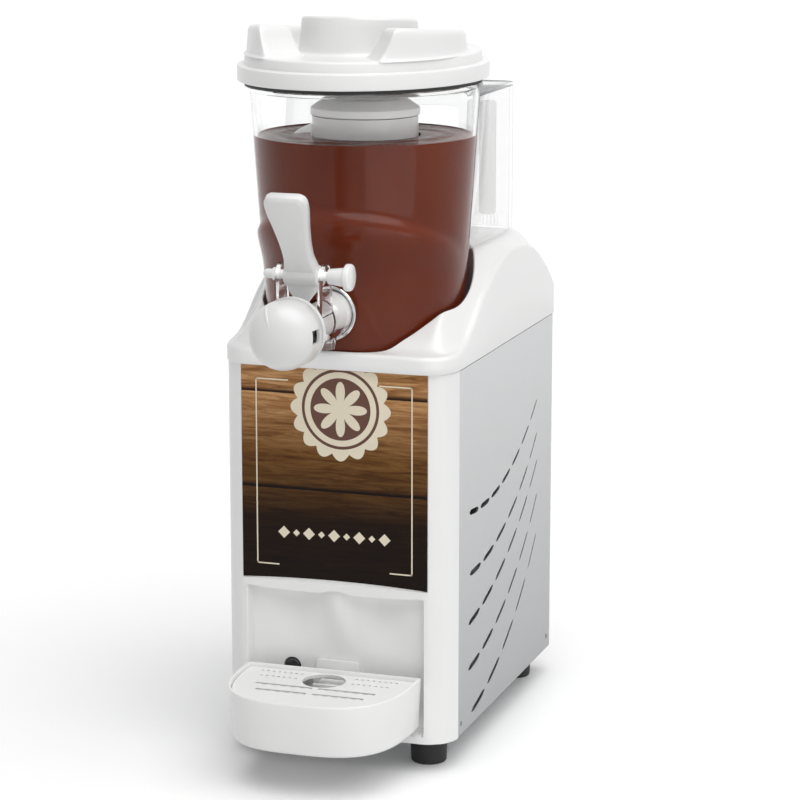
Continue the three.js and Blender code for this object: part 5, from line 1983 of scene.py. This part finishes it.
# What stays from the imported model


@dataclass
class Inside(Assembly):
    """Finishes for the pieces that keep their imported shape."""

    def build(self) -> None:
        """Gives every such piece its finish."""
        p = self.palette
        finishes = {
            p.zinc: ("base_plate", "support_frame", "thermostat"),
            p.steel: ("drive_shaft", "heated_plate"),
            p.cast: ("gearbox", "heating_element", "motor_capacitor"),
            p.silicone: ("shaft_seal", "bowl_seal"),
            p.rubber: ("piston_seal_front", "piston_seal_rear"),
            p.green: ("control_board",),
            p.soft_white: ("control_box",),
            p.white: ("tap_piston",),
            p.black: (
                "gear_motor",
                "overheat_cutout",
                "terminal_block",
                "switch_housing",
                "power_switch",
            ),
        }
        for finish, names in finishes.items():
            for name in names:
                node = bpy.data.objects[name]
                node.data.materials.clear()
                node.data.materials.append(finish)
                LOG.info("finished %s", name)


# The studio


@dataclass
class Studio:
    """The pale floor, the soft lamps and the camera."""

    camera_place: Point3 = (778.3, -2156.3, 768.8)
    yaw: float = 18.487
    pitch: float = 11.882
    lens: float = 129.14
    room_light: float = 0.27

    def build(self) -> None:
        """Builds the floor, the world, the lamps and the camera."""
        self.floor()
        self.world()
        self.sky_light("ceiling_light", (0.3, -0.25, 1.0), 2.52, 70.0)
        self.lamp("low_softbox", (0.94, -0.92, 0.24), (1.3, 0.4), 1.5)
        self.camera()
        bpy.context.scene.view_settings.view_transform = "Standard"

    def floor(self) -> None:
        """Lays the pale floor."""
        deselect_all()
        bpy.ops.mesh.primitive_plane_add(size=30.0, location=(0.0, 0.0, -0.0002))
        floor = bpy.context.object
        floor.name = "studio_floor"
        nodes = Nodes(bpy.data.materials.new("pale_floor"))
        seen = nodes.seen()
        dull = nodes.between(nodes.noise(3.0), 0.73, 0.75)
        pale = nodes.between(nodes.noise(3.0), 0.95, 0.97)
        shader = nodes.add(
            "ShaderNodeBsdfPrincipled",
            Base_Color=nodes.blend("MIX", seen, dull, pale),
            Roughness=0.6,
            Emission_Color=(*WHITE, 1.0),
            Emission_Strength=nodes.between(seen, 0.0, 0.05),
        )
        floor.data.materials.append(nodes.show(shader))

    def world(self) -> None:
        """Lights the scene evenly and shows white behind it, in metal and in glass."""
        nodes = Nodes(bpy.data.worlds.new("pale_room"), "ShaderNodeOutputWorld")
        strength = nodes.between(nodes.seen(), self.room_light, 1.0)
        back = nodes.add("ShaderNodeBackground", Color=(*WHITE, 1.0), Strength=strength)
        bpy.context.scene.world = nodes.show(back)

    def sky_light(self, name: str, direction: Sequence[float], power: float, softness: float) -> None:
        """Adds a broad soft light that falls evenly on everything.

        Args:
            name: The light's name.
            direction: Where it comes from.
            power: Its power in watts per square metre.
            softness: How wide it looks, in degrees.
        """
        data = bpy.data.lights.new(name, "SUN")
        data.energy = power
        data.angle = math.radians(softness)
        light = bpy.data.objects.new(name, data)
        light.rotation_euler = (-Vector(direction)).to_track_quat("-Z", "Y").to_euler()
        bpy.context.collection.objects.link(light)

    def lamp(self, name: str, place: Sequence[float], size: Point2, power: float) -> None:
        """Hangs a soft rectangular lamp that faces the middle of the machine.

        Args:
            name: The lamp's name.
            place: Where it hangs, in metres.
            size: Its width and height in metres.
            power: Its power in watts.
        """
        data = bpy.data.lights.new(name, "AREA")
        data.shape = "RECTANGLE"
        data.size, data.size_y = size
        data.energy = power
        lamp = bpy.data.objects.new(name, data)
        lamp.location = place
        aim = Vector((0.0, 0.0, 0.3)) - Vector(place)
        lamp.rotation_euler = aim.to_track_quat("-Z", "Y").to_euler()
        bpy.context.collection.objects.link(lamp)

    def camera(self) -> None:
        """Sets the camera at the photograph's viewing angle."""
        data = bpy.data.cameras.new("view")
        data.lens = self.lens
        data.sensor_width = 36.0
        camera = bpy.data.objects.new("view", data)
        turn = Matrix.Rotation(math.radians(self.yaw), 4, "Z")
        tilt = Matrix.Rotation(math.radians(90.0 - self.pitch), 4, "X")
        camera.matrix_world = Matrix.Translation(at(*self.camera_place)) @ turn @ tilt
        bpy.context.collection.objects.link(camera)
        bpy.context.scene.camera = camera


def main() -> None:
    """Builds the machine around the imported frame."""
    logging.basicConfig(level=logging.INFO, format="%(name)s: %(message)s")
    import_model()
    palette = Palette()
    Studio().build()
    for maker in (Body, Casing, Bowl, Lid, Stirrer, Tap, DripTray, Inside):
        maker(palette).build()
        LOG.info("%s is complete", maker.__name__)


if __name__ == "__main__":
    main()
